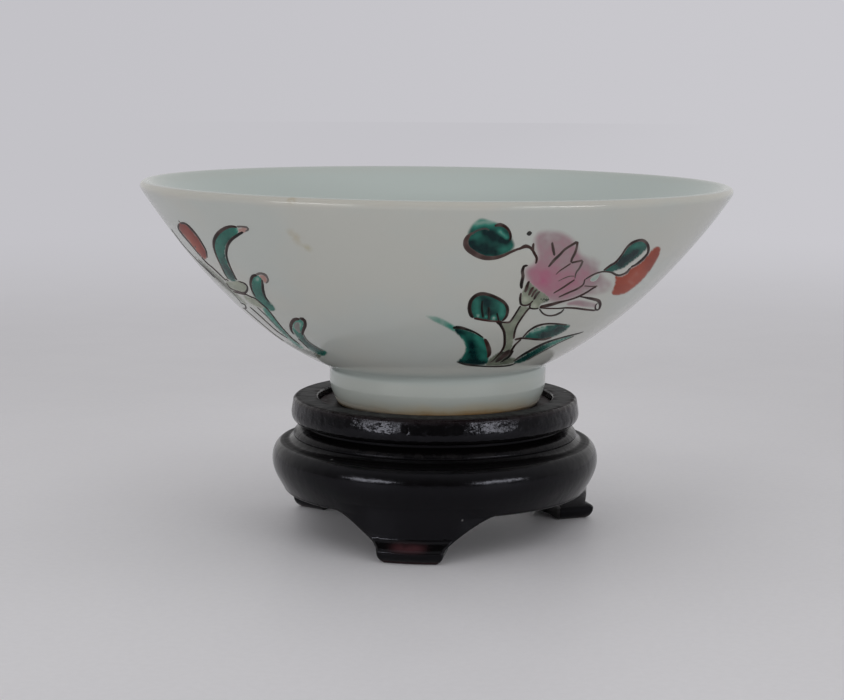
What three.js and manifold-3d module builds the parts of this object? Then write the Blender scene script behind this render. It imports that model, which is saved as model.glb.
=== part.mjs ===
// A small porcelain cup with a wide flaring bowl and a foot ring, on its turned and carved wooden stand.
// Millimetres, +Z up. The origin is on the table under the middle of the stand. The front foot points to -Y.
import * as THREE from "three";
import { mergeVertices } from "three/addons/utils/BufferGeometryUtils.js";
import Module from "manifold-3d";

const wasm = await Module();
wasm.setup();

// Cup: the foot ring
const cupHeight = 45.8; // foot edge to lip
const footRingRadius = 22.45; // where the bowl springs from the ring
const footRingHeight = 8.2; // foot edge to that corner
const footRingWall = 3.4;
const footEdgeWidth = 1.2; // the flat unglazed edge that the cup stands on
const footBevelWidth = 1.8; // outside, the ring draws in to its edge by this much
const footBevelHeight = 4.6;
const footBevelHollow = 0.25; // the bevel's curve is drawn this far inside the ring's radius
const footInnerBevel = 0.6;
const footRecessDepth = 6.9; // foot edge up to the underside of the base
const footRecessFillet = 1.1;
const footJointFillet = 1.3; // glaze gathers in the corner between the ring and the bowl

// Cup: the bowl
const lipRadius = 60.3;
const baseThickness = 3.4;
const wallAtFoot = 3;
const wallAtLip = 2.2;
const riseAtFoot = 24.6; // degrees above the level where the wall leaves the foot ring
const riseAtLip = 56.4;
const fullnessAtFoot = 18; // how far the wall holds on to its first direction
const fullnessAtLip = 15.1;
const wellBlend = 0.15; // share of the wall's curve that the rounded well takes
const lipSlump = 0.4; // the bowl sank a little on one side in the kiln
const slumpDirection = 8.4; // degrees from +X towards +Y

// Stand: radii, outwards from the cup's foot
const seatClearance = 1.9; // foot ring to the wall of the recess
const boardClearance = 0.15;
const boardBearing = 2.7; // how far the seat board lies on the waist
const neckWall = 2.85; // wall of the recess to the neck under the rim
const rimOverhang = 2.7; // neck to the widest line of the rim
const rimTopInset = 0.7; // widest line back to the edge of the flat top
const waistBeadOverhang = 2.2;
const waistSpread = 1.9; // bead out to the waist's foot
const apronStep = 0.2; // waist's foot to the top edge of the apron
const apronBulge = 2.4; // top edge out to the apron's widest line
const apronTuck = 2.6; // widest line back in to the apron's lower edge
const apronWall = 6.9; // widest line in to the bore

// Stand: heights, upwards from the table
const footHeight = 8.6; // table to the underside of the apron
const apronHeight = 10;
const apronWidestHeight = 6.5; // underside to widest line
const apronShoulderRise = 2.1; // the shoulder holds its full width up to about here above that line
const waistHeight = 3.8;
const waistSpreadHeight = 1.05;
const neckHeight = 0.6;
const rimHeight = 5.4;
const rimWidestHeight = 2.1; // underside of the rim to its widest line
const recessDepth = 1.35;
const arris = 0.3; // small rounding on turned edges

// Stand: the three feet
const footCount = 3;
const toeReach = 0.85; // toe tip beyond the apron's widest line
const toeHeight = 2.3;
const soleInset = 1.7; // toe tip back to the sole's outer edge
const ankleInset = 1.55; // apron's widest line in to the ankle
const ankleHeight = 4.6;
const legTopHeight = 2.1; // how far the leg's face runs up over the apron
const legTopInset = 1.4; // apron's widest line in to the face where the leg ends
const soleHalfWidth = 5.1;
const toeHalfWidth = 6.6;
const flareHalfWidth = 15.8; // half the leg's width where it spreads into the apron
const flareFullness = 3.8; // how far in the spreading curve is pulled from that width
const flareDrop = 1.2; // and how far below the apron's underside
const legTopHalfWidth = 8.5;

// Facets
const turnSteps = 60;
const wallSteps = 12;
const wellSteps = 6;
const lipSteps = 5;
const mouldingSteps = 5;
const filletSteps = 3;

// Radii and heights that follow
const seatRadius = footRingRadius + seatClearance;
const boardRadius = seatRadius - boardClearance;
const waistBoreRadius = boardRadius - boardBearing;
const neckRadius = seatRadius + neckWall;
const rimRadius = neckRadius + rimOverhang;
const waistBeadRadius = neckRadius + waistBeadOverhang;
const waistFootRadius = waistBeadRadius + waistSpread;
const apronTopRadius = waistFootRadius + apronStep;
const apronRadius = apronTopRadius + apronBulge;
const apronBoreRadius = apronRadius - apronWall;
const apronTop = footHeight + apronHeight;
const waistTop = apronTop + waistHeight;
const rimTop = waistTop + rimHeight;
const seatHeight = rimTop - recessDepth;

const lacquer = new THREE.MeshStandardMaterial({ color: 0x121010, roughness: 0.28, metalness: 0 });
const glaze = new THREE.MeshStandardMaterial({ color: 0xd3d8d0, roughness: 0.12, metalness: 0 });

const at = (radius, height) => new THREE.Vector2(radius, height);

function bend(start, startPull, endPull, end, steps) {
  return new THREE.CubicBezierCurve(start, startPull, endPull, end).getPoints(steps);
}

function round(start, corner, end, steps) {
  return new THREE.QuadraticBezierCurve(start, corner, end).getPoints(steps);
}

// Turns an outline of radius and height about the Z axis.
function turned(outline) {
  const geometry = new THREE.LatheGeometry(outline, turnSteps);
  geometry.rotateX(Math.PI / 2);
  return geometry;
}

function toSolid(geometry) {
  const bare = geometry.clone();
  bare.deleteAttribute("normal");
  bare.deleteAttribute("uv");
  const merged = mergeVertices(bare, 1e-4);
  const vertProperties = new Float32Array(merged.attributes.position.array);
  const triVerts = new Uint32Array(merged.index.array);
  return new wasm.Manifold(new wasm.Mesh({ numProp: 3, vertProperties, triVerts }));
}

function toGeometry(solid) {
  const { vertProperties, triVerts } = solid.getMesh();
  const geometry = new THREE.BufferGeometry();
  geometry.setAttribute("position", new THREE.BufferAttribute(vertProperties, 3));
  geometry.setIndex(new THREE.BufferAttribute(triVerts, 1));
  geometry.computeVertexNormals();
  return geometry;
}

function named(name, geometry, material) {
  const mesh = new THREE.Mesh(geometry, material);
  mesh.name = name;
  return mesh;
}

// The outside of the bowl, from the foot ring's corner up to where the lip begins to turn over.
function bowlCurve() {
  const foot = THREE.MathUtils.degToRad(riseAtFoot);
  const lip = THREE.MathUtils.degToRad(riseAtLip);
  const turn = wallAtLip / 2;
  const start = at(footRingRadius, footRingHeight);
  const endRadius = lipRadius - turn + turn * Math.sin(lip);
  const end = at(endRadius, cupHeight - turn - turn * Math.cos(lip));
  const startPull = at(start.x + fullnessAtFoot * Math.cos(foot), start.y + fullnessAtFoot * Math.sin(foot));
  const endPull = at(end.x - fullnessAtLip * Math.cos(lip), end.y - fullnessAtLip * Math.sin(lip));
  return new THREE.CubicBezierCurve(start, startPull, endPull, end);
}

// The inside of the wall at a share of the bowl curve: it thins evenly from foot to lip.
function innerWall(curve, share) {
  const along = curve.getTangent(share);
  const wall = THREE.MathUtils.lerp(wallAtFoot, wallAtLip, share);
  const outer = curve.getPoint(share);
  return at(outer.x - wall * along.y, outer.y + wall * along.x);
}

// The half round of the lip, from the outer wall over the top to the inner wall.
function lipRound(curve) {
  const turn = wallAtLip / 2;
  const outer = curve.getPoint(1);
  const along = curve.getTangent(1);
  const centre = at(outer.x - turn * along.y, outer.y + turn * along.x);
  const from = Math.atan2(outer.y - centre.y, outer.x - centre.x);
  const points = [];
  for (let step = 1; step < lipSteps; step++) {
    const angle = from + (Math.PI * step) / lipSteps;
    points.push(at(centre.x + turn * Math.cos(angle), centre.y + turn * Math.sin(angle)));
  }
  return points;
}

// The underside, foot edge and outside of the foot ring, from the middle of the base outwards.
function footRingOutline() {
  const edgeOuter = footRingRadius - footBevelWidth;
  const edgeInner = edgeOuter - footEdgeWidth;
  const ringInner = footRingRadius - footRingWall;
  const base = footRecessDepth;
  return [
    at(0, base),
    ...round(at(ringInner - footRecessFillet, base), at(ringInner, base),
      at(ringInner, base - footRecessFillet), filletSteps),
    at(ringInner, footInnerBevel),
    at(edgeInner, 0),
    ...round(at(edgeOuter, 0), at(footRingRadius - footBevelHollow, footBevelHeight / 2),
      at(footRingRadius, footBevelHeight), mouldingSteps),
  ];
}

// The hollow round that fills the corner between the ring and the bowl.
function footJoint(curve) {
  const foot = THREE.MathUtils.degToRad(riseAtFoot);
  const corner = curve.getPoint(0);
  const below = at(corner.x, corner.y - footJointFillet);
  const along = at(corner.x + footJointFillet * Math.cos(foot), corner.y + footJointFillet * Math.sin(foot));
  return round(below, corner, along, filletSteps);
}

// The rounded inside of the well, from the inner wall down to the middle.
function wellRound(curve) {
  const start = innerWall(curve, wellBlend);
  const along = curve.getTangent(wellBlend);
  const floor = footRecessDepth + baseThickness;
  const corner = at(start.x - ((start.y - floor) * along.x) / along.y, floor);
  return round(start, corner, at(0, floor), wellSteps);
}

// Lowers the bowl on one side, more and more from the foot ring up to the lip.
function slump(geometry) {
  const positions = geometry.attributes.position;
  const direction = THREE.MathUtils.degToRad(slumpDirection);
  for (let i = 0; i < positions.count; i++) {
    const across = positions.getX(i) * Math.cos(direction) + positions.getY(i) * Math.sin(direction);
    const height = positions.getZ(i);
    const share = Math.max(0, (height - footRingHeight) / (cupHeight - footRingHeight));
    positions.setZ(i, height - (lipSlump * share * across) / lipRadius);
  }
  return geometry;
}

function cup() {
  const curve = bowlCurve();
  const outer = curve.getPoints(wallSteps).slice(1);
  const inner = [];
  for (let step = 0; step < wallSteps; step++) {
    const share = 1 - ((1 - wellBlend) * step) / wallSteps;
    inner.push(innerWall(curve, share));
  }
  const outside = [...footRingOutline(), ...footJoint(curve), ...outer, ...lipRound(curve)];
  const outline = [...outside, ...inner, ...wellRound(curve)];
  return named("cup", slump(turned(outline)), glaze);
}

// The thin round board that the cup's foot stands on.
function seatBoard() {
  const outline = [
    at(0, waistTop),
    at(boardRadius, waistTop),
    at(boardRadius, seatHeight),
    at(0, seatHeight),
  ];
  return named("stand_seat_board", turned(outline), lacquer);
}

// The moulded ring round the seat board. It stands above the board and keeps the foot in place.
function rimRing() {
  const topRadius = rimRadius - rimTopInset;
  const widest = waistTop + rimWidestHeight;
  const shoulder = rimTop - arris;
  const outline = [
    at(seatRadius, waistTop),
    ...bend(at(neckRadius + arris, waistTop), at(rimRadius - arris, waistTop),
      at(rimRadius, waistTop + arris), at(rimRadius, widest), mouldingSteps),
    ...bend(at(rimRadius, widest), at(rimRadius, (widest + shoulder) / 2),
      at(topRadius + arris, shoulder - arris), at(topRadius, shoulder), mouldingSteps).slice(1),
    at(topRadius - arris, rimTop),
    at(seatRadius + arris, rimTop),
    at(seatRadius, shoulder),
    at(seatRadius, waistTop),
  ];
  return named("stand_rim", turned(outline), lacquer);
}

// The waist: a short neck, a small bead and a spreading foot. It carries the board and the rim.
function waistRing() {
  const neckFoot = waistTop - neckHeight;
  const beadFoot = apronTop + waistSpreadHeight;
  const beadPull = (neckFoot - beadFoot) / 3;
  const spreadPull = at(waistBeadRadius + waistSpread / 3, apronTop + waistSpreadHeight / 3);
  const outline = [
    at(waistBoreRadius, apronTop),
    ...round(at(waistFootRadius, apronTop), spreadPull, at(waistBeadRadius, beadFoot), filletSteps),
    ...bend(at(waistBeadRadius, beadFoot), at(waistBeadRadius + arris, beadFoot + beadPull),
      at(waistBeadRadius - arris, neckFoot - beadPull), at(neckRadius, neckFoot), mouldingSteps).slice(1),
    at(neckRadius, waistTop),
    at(waistBoreRadius, waistTop),
    at(waistBoreRadius, apronTop),
  ];
  return named("stand_waist", turned(outline), lacquer);
}

// The bulging ring of the apron, without its feet.
function apronRing() {
  const widest = footHeight + apronWidestHeight;
  const lowerRadius = apronRadius - apronTuck;
  const pull = apronWidestHeight / 3;
  const steps = 2 * mouldingSteps;
  const outline = [
    at(apronBoreRadius, footHeight),
    ...bend(at(lowerRadius, footHeight), at(lowerRadius + apronTuck / 2, footHeight + pull),
      at(apronRadius, widest - pull), at(apronRadius, widest), steps),
    ...bend(at(apronRadius, widest), at(apronRadius, widest + apronShoulderRise),
      at(apronTopRadius + apronBulge / 2, apronTop), at(apronTopRadius, apronTop), steps).slice(1),
    at(apronBoreRadius, apronTop),
    at(apronBoreRadius, footHeight),
  ];
  return turned(outline);
}

// The ring that the feet are cut from: sole, toe, ankle and the face that runs up into the apron.
function footRing() {
  const toeRadius = apronRadius + toeReach;
  const ankleRadius = apronRadius - ankleInset;
  const legTop = footHeight + legTopHeight;
  const toe = at(toeRadius, toeHeight);
  const outline = [
    at(apronBoreRadius, 0),
    ...round(at(toeRadius - soleInset, 0), at(toeRadius, toeHeight / 3), toe, mouldingSteps),
    ...bend(toe, at(toeRadius, (toeHeight + ankleHeight) / 2),
      at(ankleRadius, toeHeight + arris), at(ankleRadius, ankleHeight), mouldingSteps).slice(1),
    ...round(at(ankleRadius, ankleHeight), at(ankleRadius, footHeight - arris),
      at(apronRadius - legTopInset, legTop), mouldingSteps).slice(1),
    at(apronBoreRadius, legTop),
    at(apronBoreRadius, 0),
  ];
  return turned(outline);
}

// The front outline of one foot, cut straight through the ring towards -Y.
function footCutter() {
  const legTop = footHeight + legTopHeight;
  const toe = at(toeHalfWidth, toeHeight);
  const neck = at(toeHalfWidth + arris, toeHeight + 2 * arris);
  const flarePull = at(flareHalfWidth - flareFullness, footHeight - flareDrop);
  const right = [
    ...round(at(soleHalfWidth, 0), at(toeHalfWidth, toeHeight / 3), toe, mouldingSteps),
    ...round(neck, flarePull, at(flareHalfWidth, footHeight), 2 * mouldingSteps),
    at(legTopHalfWidth, legTop),
  ];
  const left = right.map((point) => at(-point.x, point.y)).reverse();
  const depth = apronRadius + 2 * toeReach;
  const front = new THREE.Shape([...right, ...left]);
  const geometry = new THREE.ExtrudeGeometry(front, { depth, bevelEnabled: false });
  geometry.rotateX(Math.PI / 2);
  return geometry;
}

// The apron and its three feet, carved from one ring of wood.
function apron() {
  const ring = toSolid(footRing());
  let solid = toSolid(apronRing());
  for (let foot = 0; foot < footCount; foot++) {
    const cutter = footCutter().rotateZ((2 * Math.PI * foot) / footCount);
    solid = solid.add(ring.intersect(toSolid(cutter)));
  }
  return named("stand_apron", toGeometry(solid), lacquer);
}

const stand = new THREE.Group();
stand.add(apron(), waistRing(), seatBoard(), rimRing());

const servedCup = cup();
servedCup.position.z = seatHeight;

const object = new THREE.Group();
object.add(stand, servedCup);

export default object;
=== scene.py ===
"""A small porcelain cup with painted flower sprays, standing on its black wooden stand.

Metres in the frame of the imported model: +Z up, the origin on the table under the middle of the stand.
Sizes of the object are written in millimetres and multiplied by MM. The brush strokes are written in
pixels of the photograph and are laid on the cup by casting rays from the camera.
"""

import math

import bpy
import numpy as np
from mathutils import Matrix, Vector, noise
from mathutils.bvhtree import BVHTree
from mathutils.geometry import delaunay_2d_cdt


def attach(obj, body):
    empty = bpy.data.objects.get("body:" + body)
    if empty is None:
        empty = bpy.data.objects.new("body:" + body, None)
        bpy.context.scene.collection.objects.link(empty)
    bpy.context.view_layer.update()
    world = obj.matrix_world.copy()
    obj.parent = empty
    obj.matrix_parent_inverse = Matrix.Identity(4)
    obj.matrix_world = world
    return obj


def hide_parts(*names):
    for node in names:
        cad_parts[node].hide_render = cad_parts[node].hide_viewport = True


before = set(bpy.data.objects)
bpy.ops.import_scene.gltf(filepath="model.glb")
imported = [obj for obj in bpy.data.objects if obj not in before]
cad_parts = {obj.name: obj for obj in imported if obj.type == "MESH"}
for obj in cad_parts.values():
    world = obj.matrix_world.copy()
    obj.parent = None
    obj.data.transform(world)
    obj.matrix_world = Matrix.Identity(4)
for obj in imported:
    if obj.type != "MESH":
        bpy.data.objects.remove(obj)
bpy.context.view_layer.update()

MM = 0.001

# Photograph and camera
PICTURE_WIDTH = 844
PICTURE_HEIGHT = 700
FOCAL_PIXELS = 1926.1
SENSOR = 36
CAMERA_PLACE = Vector((55.43, -392.5, 95.3)) * MM
CAMERA_TURN = math.radians(8.44)
CAMERA_DIP = math.radians(8.35)
CAMERA_ROLL = math.radians(0.33)

# Cup, in millimetres, from its foot edge upwards
CUP_HEIGHT = 45.75
FOOT_RING_RADIUS = 22.45
FOOT_RING_HEIGHT = 8.2
FOOT_RING_WALL = 3.4
FOOT_EDGE_WIDTH = 1.2
FOOT_BEVEL_WIDTH = 1.8
FOOT_BEVEL_HEIGHT = 4.6
FOOT_BEVEL_HOLLOW = 0.25
FOOT_INNER_BEVEL = 0.6
FOOT_RECESS_DEPTH = 6.9
FOOT_RECESS_FILLET = 1.1
FOOT_JOINT_FILLET = 1.3
LIP_RADIUS = 60.29
BASE_THICKNESS = 3.4
WALL_AT_FOOT = 3
WALL_AT_LIP = 2.2
RISE_AT_FOOT = math.radians(24.6)
RISE_AT_LIP = math.radians(56.4)
FULLNESS_AT_FOOT = 18
FULLNESS_AT_LIP = 15.1
WELL_BLEND = 0.15
LIP_SLUMP = 0.4
SLUMP_DIRECTION = math.radians(8.4)
# The thrown bowl leans a little: heights above the foot edge, and how far it is moved to the right there
LEAN_HEIGHTS = (0, 7.0, 9.6, 14, 26, 40, CUP_HEIGHT)
LEAN_SHIFTS = (0.5, 0.5, -0.45, -0.6, -0.3, 0, 0)
BOWL_STEPS = 72
OUTLINE_STEP = 0.8

# Stand, in millimetres, from the table upwards
SEAT_RADIUS = 24.35
BOARD_RADIUS = 24.2
WAIST_BORE_RADIUS = 21.5
NECK_RADIUS = 27.2
RIM_RADIUS = 29.9
RIM_TOP_RADIUS = 29.2
WAIST_BEAD_RADIUS = 29.4
APRON_TOP_RADIUS = 31.5
APRON_RADIUS = 33.9
APRON_LOWER_RADIUS = 31.3
APRON_BORE_RADIUS = 27.0
FOOT_HEIGHT = 8.6
APRON_WIDEST = 14.8
APRON_SHOULDER = 17.2
APRON_TOP = 18.6
WAIST_BEAD_FOOT = 19.65
WAIST_BEAD = 20.6
NECK_FOOT = 21.8
WAIST_TOP = 22.4
RIM_WIDEST = 24.5
RIM_TOP = 27.8
SEAT_HEIGHT = 26.45
FOOT_COUNT = 3
SOLE_RADIUS = 33.05
TOE_RADIUS = 34.75
TOE_HEIGHT = 2.3
ANKLE_RADIUS = 32.35
ANKLE_HEIGHT = 4.6
LEG_TOP_RADIUS = 32.5
LEG_TOP = 10.7
SOLE_HALF_WIDTH = 5.1
TOE_HALF_WIDTH = 6.6
FLARE_HALF_WIDTH = 15.8
FLARE_PULL = (12.0, 7.4)
TOE_PATCH = (-0.3, 3.2)  # the worn patch on the front toe: how far across and up its middle is
TOE_PATCH_HALF = (3.2, 0.6)
CARVED_ROUND = 0.45  # radius of the softened edge along the carved feet
LEG_FACE_HALF = 7.5  # a leg's own face reaches this far from its middle
LEG_FACE_BLEND = 9.0  # and runs into the drum over this distance
COLUMNS_BETWEEN = 22
FACE_ROWS = 60
ARRIS = 0.3

TURNS = 384


def srgb(red, green, blue):
    """A linear colour from the 0-255 values that a screen shows."""
    parts = [value / 255 for value in (red, green, blue)]
    linear = [p / 12.92 if p <= 0.04045 else ((p + 0.055) / 1.055) ** 2.4 for p in parts]
    return (*linear, 1.0)


# Curves


def cubic(start, start_pull, end_pull, end, steps):
    """Points along a cubic curve, ends included."""
    share = np.linspace(0, 1, steps + 1)[:, None]
    rest = 1 - share
    points = [np.array(p, float) for p in (start, start_pull, end_pull, end)]
    return (rest**3 * points[0] + 3 * rest**2 * share * points[1]
            + 3 * rest * share**2 * points[2] + share**3 * points[3])


def quadratic(start, corner, end, steps):
    """Points along a curve that is pulled towards one corner, ends included."""
    share = np.linspace(0, 1, steps + 1)[:, None]
    rest = 1 - share
    points = [np.array(p, float) for p in (start, corner, end)]
    return rest**2 * points[0] + 2 * rest * share * points[1] + share**2 * points[2]


def stepped(points, step):
    """The same outline with extra points, so that no stretch is longer than step."""
    out = [np.array(points[0], float)]
    for point in points[1:]:
        point = np.array(point, float)
        pieces = max(1, math.ceil(np.linalg.norm(point - out[-1]) / step))
        start = out[-1]
        out += [start + (point - start) * (n + 1) / pieces for n in range(pieces)]
    return out


def spline(points, step, closed=False):
    """A smooth line through the points, with a point about every step."""
    p = np.array(points, float)
    if closed:
        before, after, last = p[-1:], p[:2], len(p)
    else:
        before, after, last = 2 * p[:1] - p[1:2], 2 * p[-1:] - p[-2:-1], len(p) - 1
    p = np.vstack([before, p, after])
    out = []
    for n in range(last):
        a, b, c, d = p[n], p[n + 1], p[n + 2], p[n + 3]
        pieces = max(1, round(float(np.linalg.norm(c - b)) / step))
        for t in np.arange(pieces) / pieces:
            out.append(0.5 * (2 * b + (c - a) * t + (2 * a - 5 * b + 4 * c - d) * t**2
                              + (3 * b - a - 3 * c + d) * t**3))
    if not closed:
        out.append(p[-2])
    return np.array(out)


def smooth(share):
    """0 to 1 with soft ends."""
    share = np.clip(share, 0, 1)
    return share * share * (3 - 2 * share)


# Meshes


def add_mesh(name, points, faces, material, values=None, sharp=35):
    """A smooth shaded object from points in millimetres, with one value per point for each name."""
    mesh = bpy.data.meshes.new(name)
    mesh.from_pydata((np.array(points, float) * MM).tolist(), [], faces)
    mesh.validate()
    mesh.shade_smooth()
    mesh.set_sharp_from_angle(angle=math.radians(sharp))
    for key, column in (values or {}).items():
        attribute = mesh.attributes.new(key, "FLOAT", "POINT")
        attribute.data.foreach_set("value", np.array(column, np.float32))
    mesh.materials.append(material)
    piece = bpy.data.objects.new(name, mesh)
    bpy.context.scene.collection.objects.link(piece)
    return piece


def turned(outline, closed):
    """An outline of (radius, height) turned about Z: points, faces and each point's outline index."""
    angles = 2 * np.pi * np.arange(TURNS) / TURNS
    points, rings, owner = [], [], []
    for index, (radius, height) in enumerate(outline):
        start = len(points)
        around = angles if radius > 1e-6 else angles[:1]
        points += [(radius * math.cos(a), radius * math.sin(a), height) for a in around]
        rings.append(list(range(start, len(points))))
        owner += [index] * len(around)
    pairs = list(zip(rings, rings[1:]))
    if closed:
        pairs.append((rings[-1], rings[0]))
    faces = []
    for low, high in pairs:
        for turn in range(TURNS):
            after = (turn + 1) % TURNS
            corners = [low[turn % len(low)], low[after % len(low)],
                       high[after % len(high)], high[turn % len(high)]]
            faces.append(list(dict.fromkeys(corners)))
    return np.array(points), faces, np.array(owner)


# Materials


class Graph:
    """Adds shader nodes to one material or world and joins them up."""

    def __init__(self, owner):
        self.owner = owner
        owner.use_nodes = True
        self.tree = owner.node_tree
        self.tree.nodes.clear()

    def add(self, kind, inputs=None, **settings):
        node = self.tree.nodes.new(kind)
        for key, value in settings.items():
            setattr(node, key, value)
        for key, value in (inputs or {}).items():
            if isinstance(value, bpy.types.NodeSocket):
                self.tree.links.new(value, node.inputs[key])
            else:
                node.inputs[key].default_value = value
        return node

    def math(self, operation, first, second=0.0, clamp=False):
        node = self.add("ShaderNodeMath", {0: first, 1: second}, operation=operation, use_clamp=clamp)
        return node.outputs[0]

    def product(self, first, *others):
        for value in others:
            first = self.math("MULTIPLY", first, value)
        return first

    def ramp(self, value, low, high, to_low=0.0, to_high=1.0):
        inputs = {"Value": value, "From Min": low, "From Max": high, "To Min": to_low, "To Max": to_high}
        return self.add("ShaderNodeMapRange", inputs, interpolation_type="SMOOTHSTEP").outputs[0]

    def ramp_mm(self, value, low, high, to_low=0.0, to_high=1.0):
        return self.ramp(value, low * MM, high * MM, to_low, to_high)

    def mix(self, share, first, second):
        node = self.add("ShaderNodeMix", {0: share, 6: first, 7: second}, data_type="RGBA")
        return node.outputs[2]

    def noise(self, place, scale, detail=2.0, roughness=0.5):
        inputs = {"Vector": place, "Scale": scale, "Detail": detail, "Roughness": roughness}
        return self.add("ShaderNodeTexNoise", inputs).outputs["Fac"]

    def specks(self, place, scale, reach, rarity):
        """1 in scattered dots. reach is where a dot starts and stops to fade, rarity the share left out."""
        cells = self.add("ShaderNodeTexVoronoi", {"Vector": place, "Scale": scale}).outputs
        dot = self.ramp(cells["Distance"], *reach, 1.0, 0.0)
        pick = self.add("ShaderNodeSeparateColor", {0: cells["Color"]}).outputs[0]
        return self.product(dot, self.ramp(pick, rarity, rarity + 0.01))

    def place(self):
        return self.add("ShaderNodeTexCoord").outputs["Object"]

    def split(self, vector):
        return self.add("ShaderNodeSeparateXYZ", {0: vector}).outputs

    def join(self, *parts):
        return self.add("ShaderNodeCombineXYZ", dict(enumerate(parts))).outputs[0]

    def value(self, name):
        return self.add("ShaderNodeAttribute", attribute_name=name).outputs["Fac"]

    def bump(self, height, strength, distance, below=None):
        inputs = {"Height": height, "Strength": strength, "Distance": distance}
        if below:
            inputs["Normal"] = below
        return self.add("ShaderNodeBump", inputs).outputs[0]

    def near(self, place, spot, inner, outer):
        """1 within inner of a spot in millimetres, down to 0 at outer."""
        ends = {0: place, 1: tuple(Vector(spot) * MM)}
        away = self.add("ShaderNodeVectorMath", ends, operation="DISTANCE").outputs["Value"]
        return self.ramp_mm(away, inner, outer, 1.0, 0.0)

    def finish(self, shader, output="ShaderNodeOutputMaterial"):
        self.add(output, {"Surface": shader})
        return self.owner

    def glossy(self, colour, roughness, level, normal, **more):
        """Finishes a material that is one glossy surface. level is its specular level."""
        inputs = {"Base Color": colour, "Roughness": roughness, "IOR": 1.5, "Specular IOR Level": level,
                  "Normal": normal, **more}
        return self.finish(self.add("ShaderNodeBsdfPrincipled", inputs).outputs[0])


GLAZE = srgb(184, 185, 178)
GLAZE_COOL = srgb(181, 185, 180)
GLAZE_INSIDE = srgb(190, 199, 196)
# Darker, bluer glaze for the foot joint: pooled glaze and painted shade in the crease
GLAZE_POOLED_AND_SHADED = srgb(162, 175, 173)
GLAZE_THIN = srgb(192, 188, 179)
BURNT_EDGE = srgb(150, 112, 58)
STAIN_HALO = srgb(188, 160, 104)
BARE_CLAY = srgb(168, 150, 122)
SPECK = srgb(120, 104, 82)
GLAZE_ROUGHNESS = 0.13
# Rubbed and rusty spots on the glaze: place, reach at full strength, where it ends, strength and tint
BLEMISHES = (
    ((-18.6, -53.4, 65.3), 0.3, 1.9, 0.4, srgb(168, 152, 122)),
    ((-17.4, -52.9, 64.0), 0.3, 2.0, 0.35, srgb(168, 152, 122)),
    ((-16.2, -52.4, 62.8), 0.2, 1.5, 0.45, srgb(162, 150, 114)),
    ((-17.9, -57.6, 72.0), 0.2, 1.3, 0.6, srgb(156, 136, 92)),
)


def glaze_colour(graph, place):
    """The colour of the glaze at a place on the cup: cooler pools, painted shade in the crease of the foot
    joint, a thin pale lip and specks.
    """
    height = graph.split(place)["Z"]
    inside = graph.value("inside")
    colour = graph.mix(graph.ramp(graph.noise(place, 38, 3), 0.38, 0.62), GLAZE, GLAZE_COOL)
    colour = graph.mix(inside, colour, GLAZE_INSIDE)
    top = SEAT_HEIGHT + CUP_HEIGHT
    wavy = graph.math("ADD", height, graph.product(graph.noise(place, 130, 2), 1.1 * MM))
    lip = graph.product(graph.ramp_mm(wavy, top - 1.6, top + 0.2), graph.ramp(inside, 0.0, 1.0, 0.6, 0.15))
    colour = graph.mix(lip, colour, GLAZE_THIN)
    # Darker, bluer glaze in and just under the crease where the bowl meets the foot ring: pooled glaze and
    # painted shade
    joint = SEAT_HEIGHT + FOOT_RING_HEIGHT
    pooled_and_shaded = graph.product(graph.ramp_mm(height, joint - 3, joint - 0.6),
                           graph.ramp_mm(height, joint, joint + 2.2, 1.0, 0.0), 0.6)
    shaded_on_ring = graph.ramp_mm(height, joint - 0.5, joint + 0.5, 0.35, 0.0)
    colour = graph.mix(graph.math("MAXIMUM", pooled_and_shaded, shaded_on_ring), colour, GLAZE_POOLED_AND_SHADED)
    specks = graph.specks(place, 260, (0.05, 0.11), 0.955)
    return graph.mix(graph.product(specks, 0.3), colour, SPECK)


def glaze_bump(graph, place):
    """Slow waves and a faint orange peel."""
    waves = graph.bump(graph.noise(place, 70, 2), 0.25, 0.00025)
    return graph.bump(graph.noise(place, 900, 2), 0.10, 0.00004, waves)


def porcelain():
    """The glazed body, with a few blemishes and the brown stain along the edge of its foot."""
    graph = Graph(bpy.data.materials.new("porcelain"))
    place = graph.place()
    colour = glaze_colour(graph, place)
    patchy = graph.ramp(graph.noise(place, 420, 3), 0.35, 0.6)
    for spot, inner, outer, strength, tint in BLEMISHES:
        share = graph.product(graph.near(place, spot, inner, outer), patchy, strength)
        colour = graph.mix(share, colour, tint)
    uneven = graph.product(graph.noise(place, 95, 4, 0.6), 2.6 * MM)
    edge = graph.math("SUBTRACT", graph.split(place)["Z"], uneven)
    stain = graph.ramp_mm(edge, SEAT_HEIGHT - 1.0, SEAT_HEIGHT + 0.65, 1.0, 0.0)
    halo = graph.ramp_mm(edge, SEAT_HEIGHT, SEAT_HEIGHT + 2.4, 0.55, 0.0)
    in_front = graph.near(place, (9, -20, SEAT_HEIGHT), 5, 25)
    burnt = graph.math("ADD", graph.product(in_front, 0.65), 0.32, clamp=True)
    soaked = graph.math("ADD", graph.product(in_front, 0.75), 0.08, clamp=True)
    colour = graph.mix(graph.product(halo, soaked), colour, STAIN_HALO)
    colour = graph.mix(graph.product(stain, burnt), colour, BURNT_EDGE)
    bare = graph.ramp_mm(edge, SEAT_HEIGHT - 1.35, SEAT_HEIGHT - 0.95, 1.0, 0.0)
    colour = graph.mix(bare, colour, BARE_CLAY)
    roughness = graph.ramp(stain, 0.2, 0.9, GLAZE_ROUGHNESS, 0.6)
    return graph.glossy(colour, roughness, 0.5, glaze_bump(graph, place))


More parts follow.
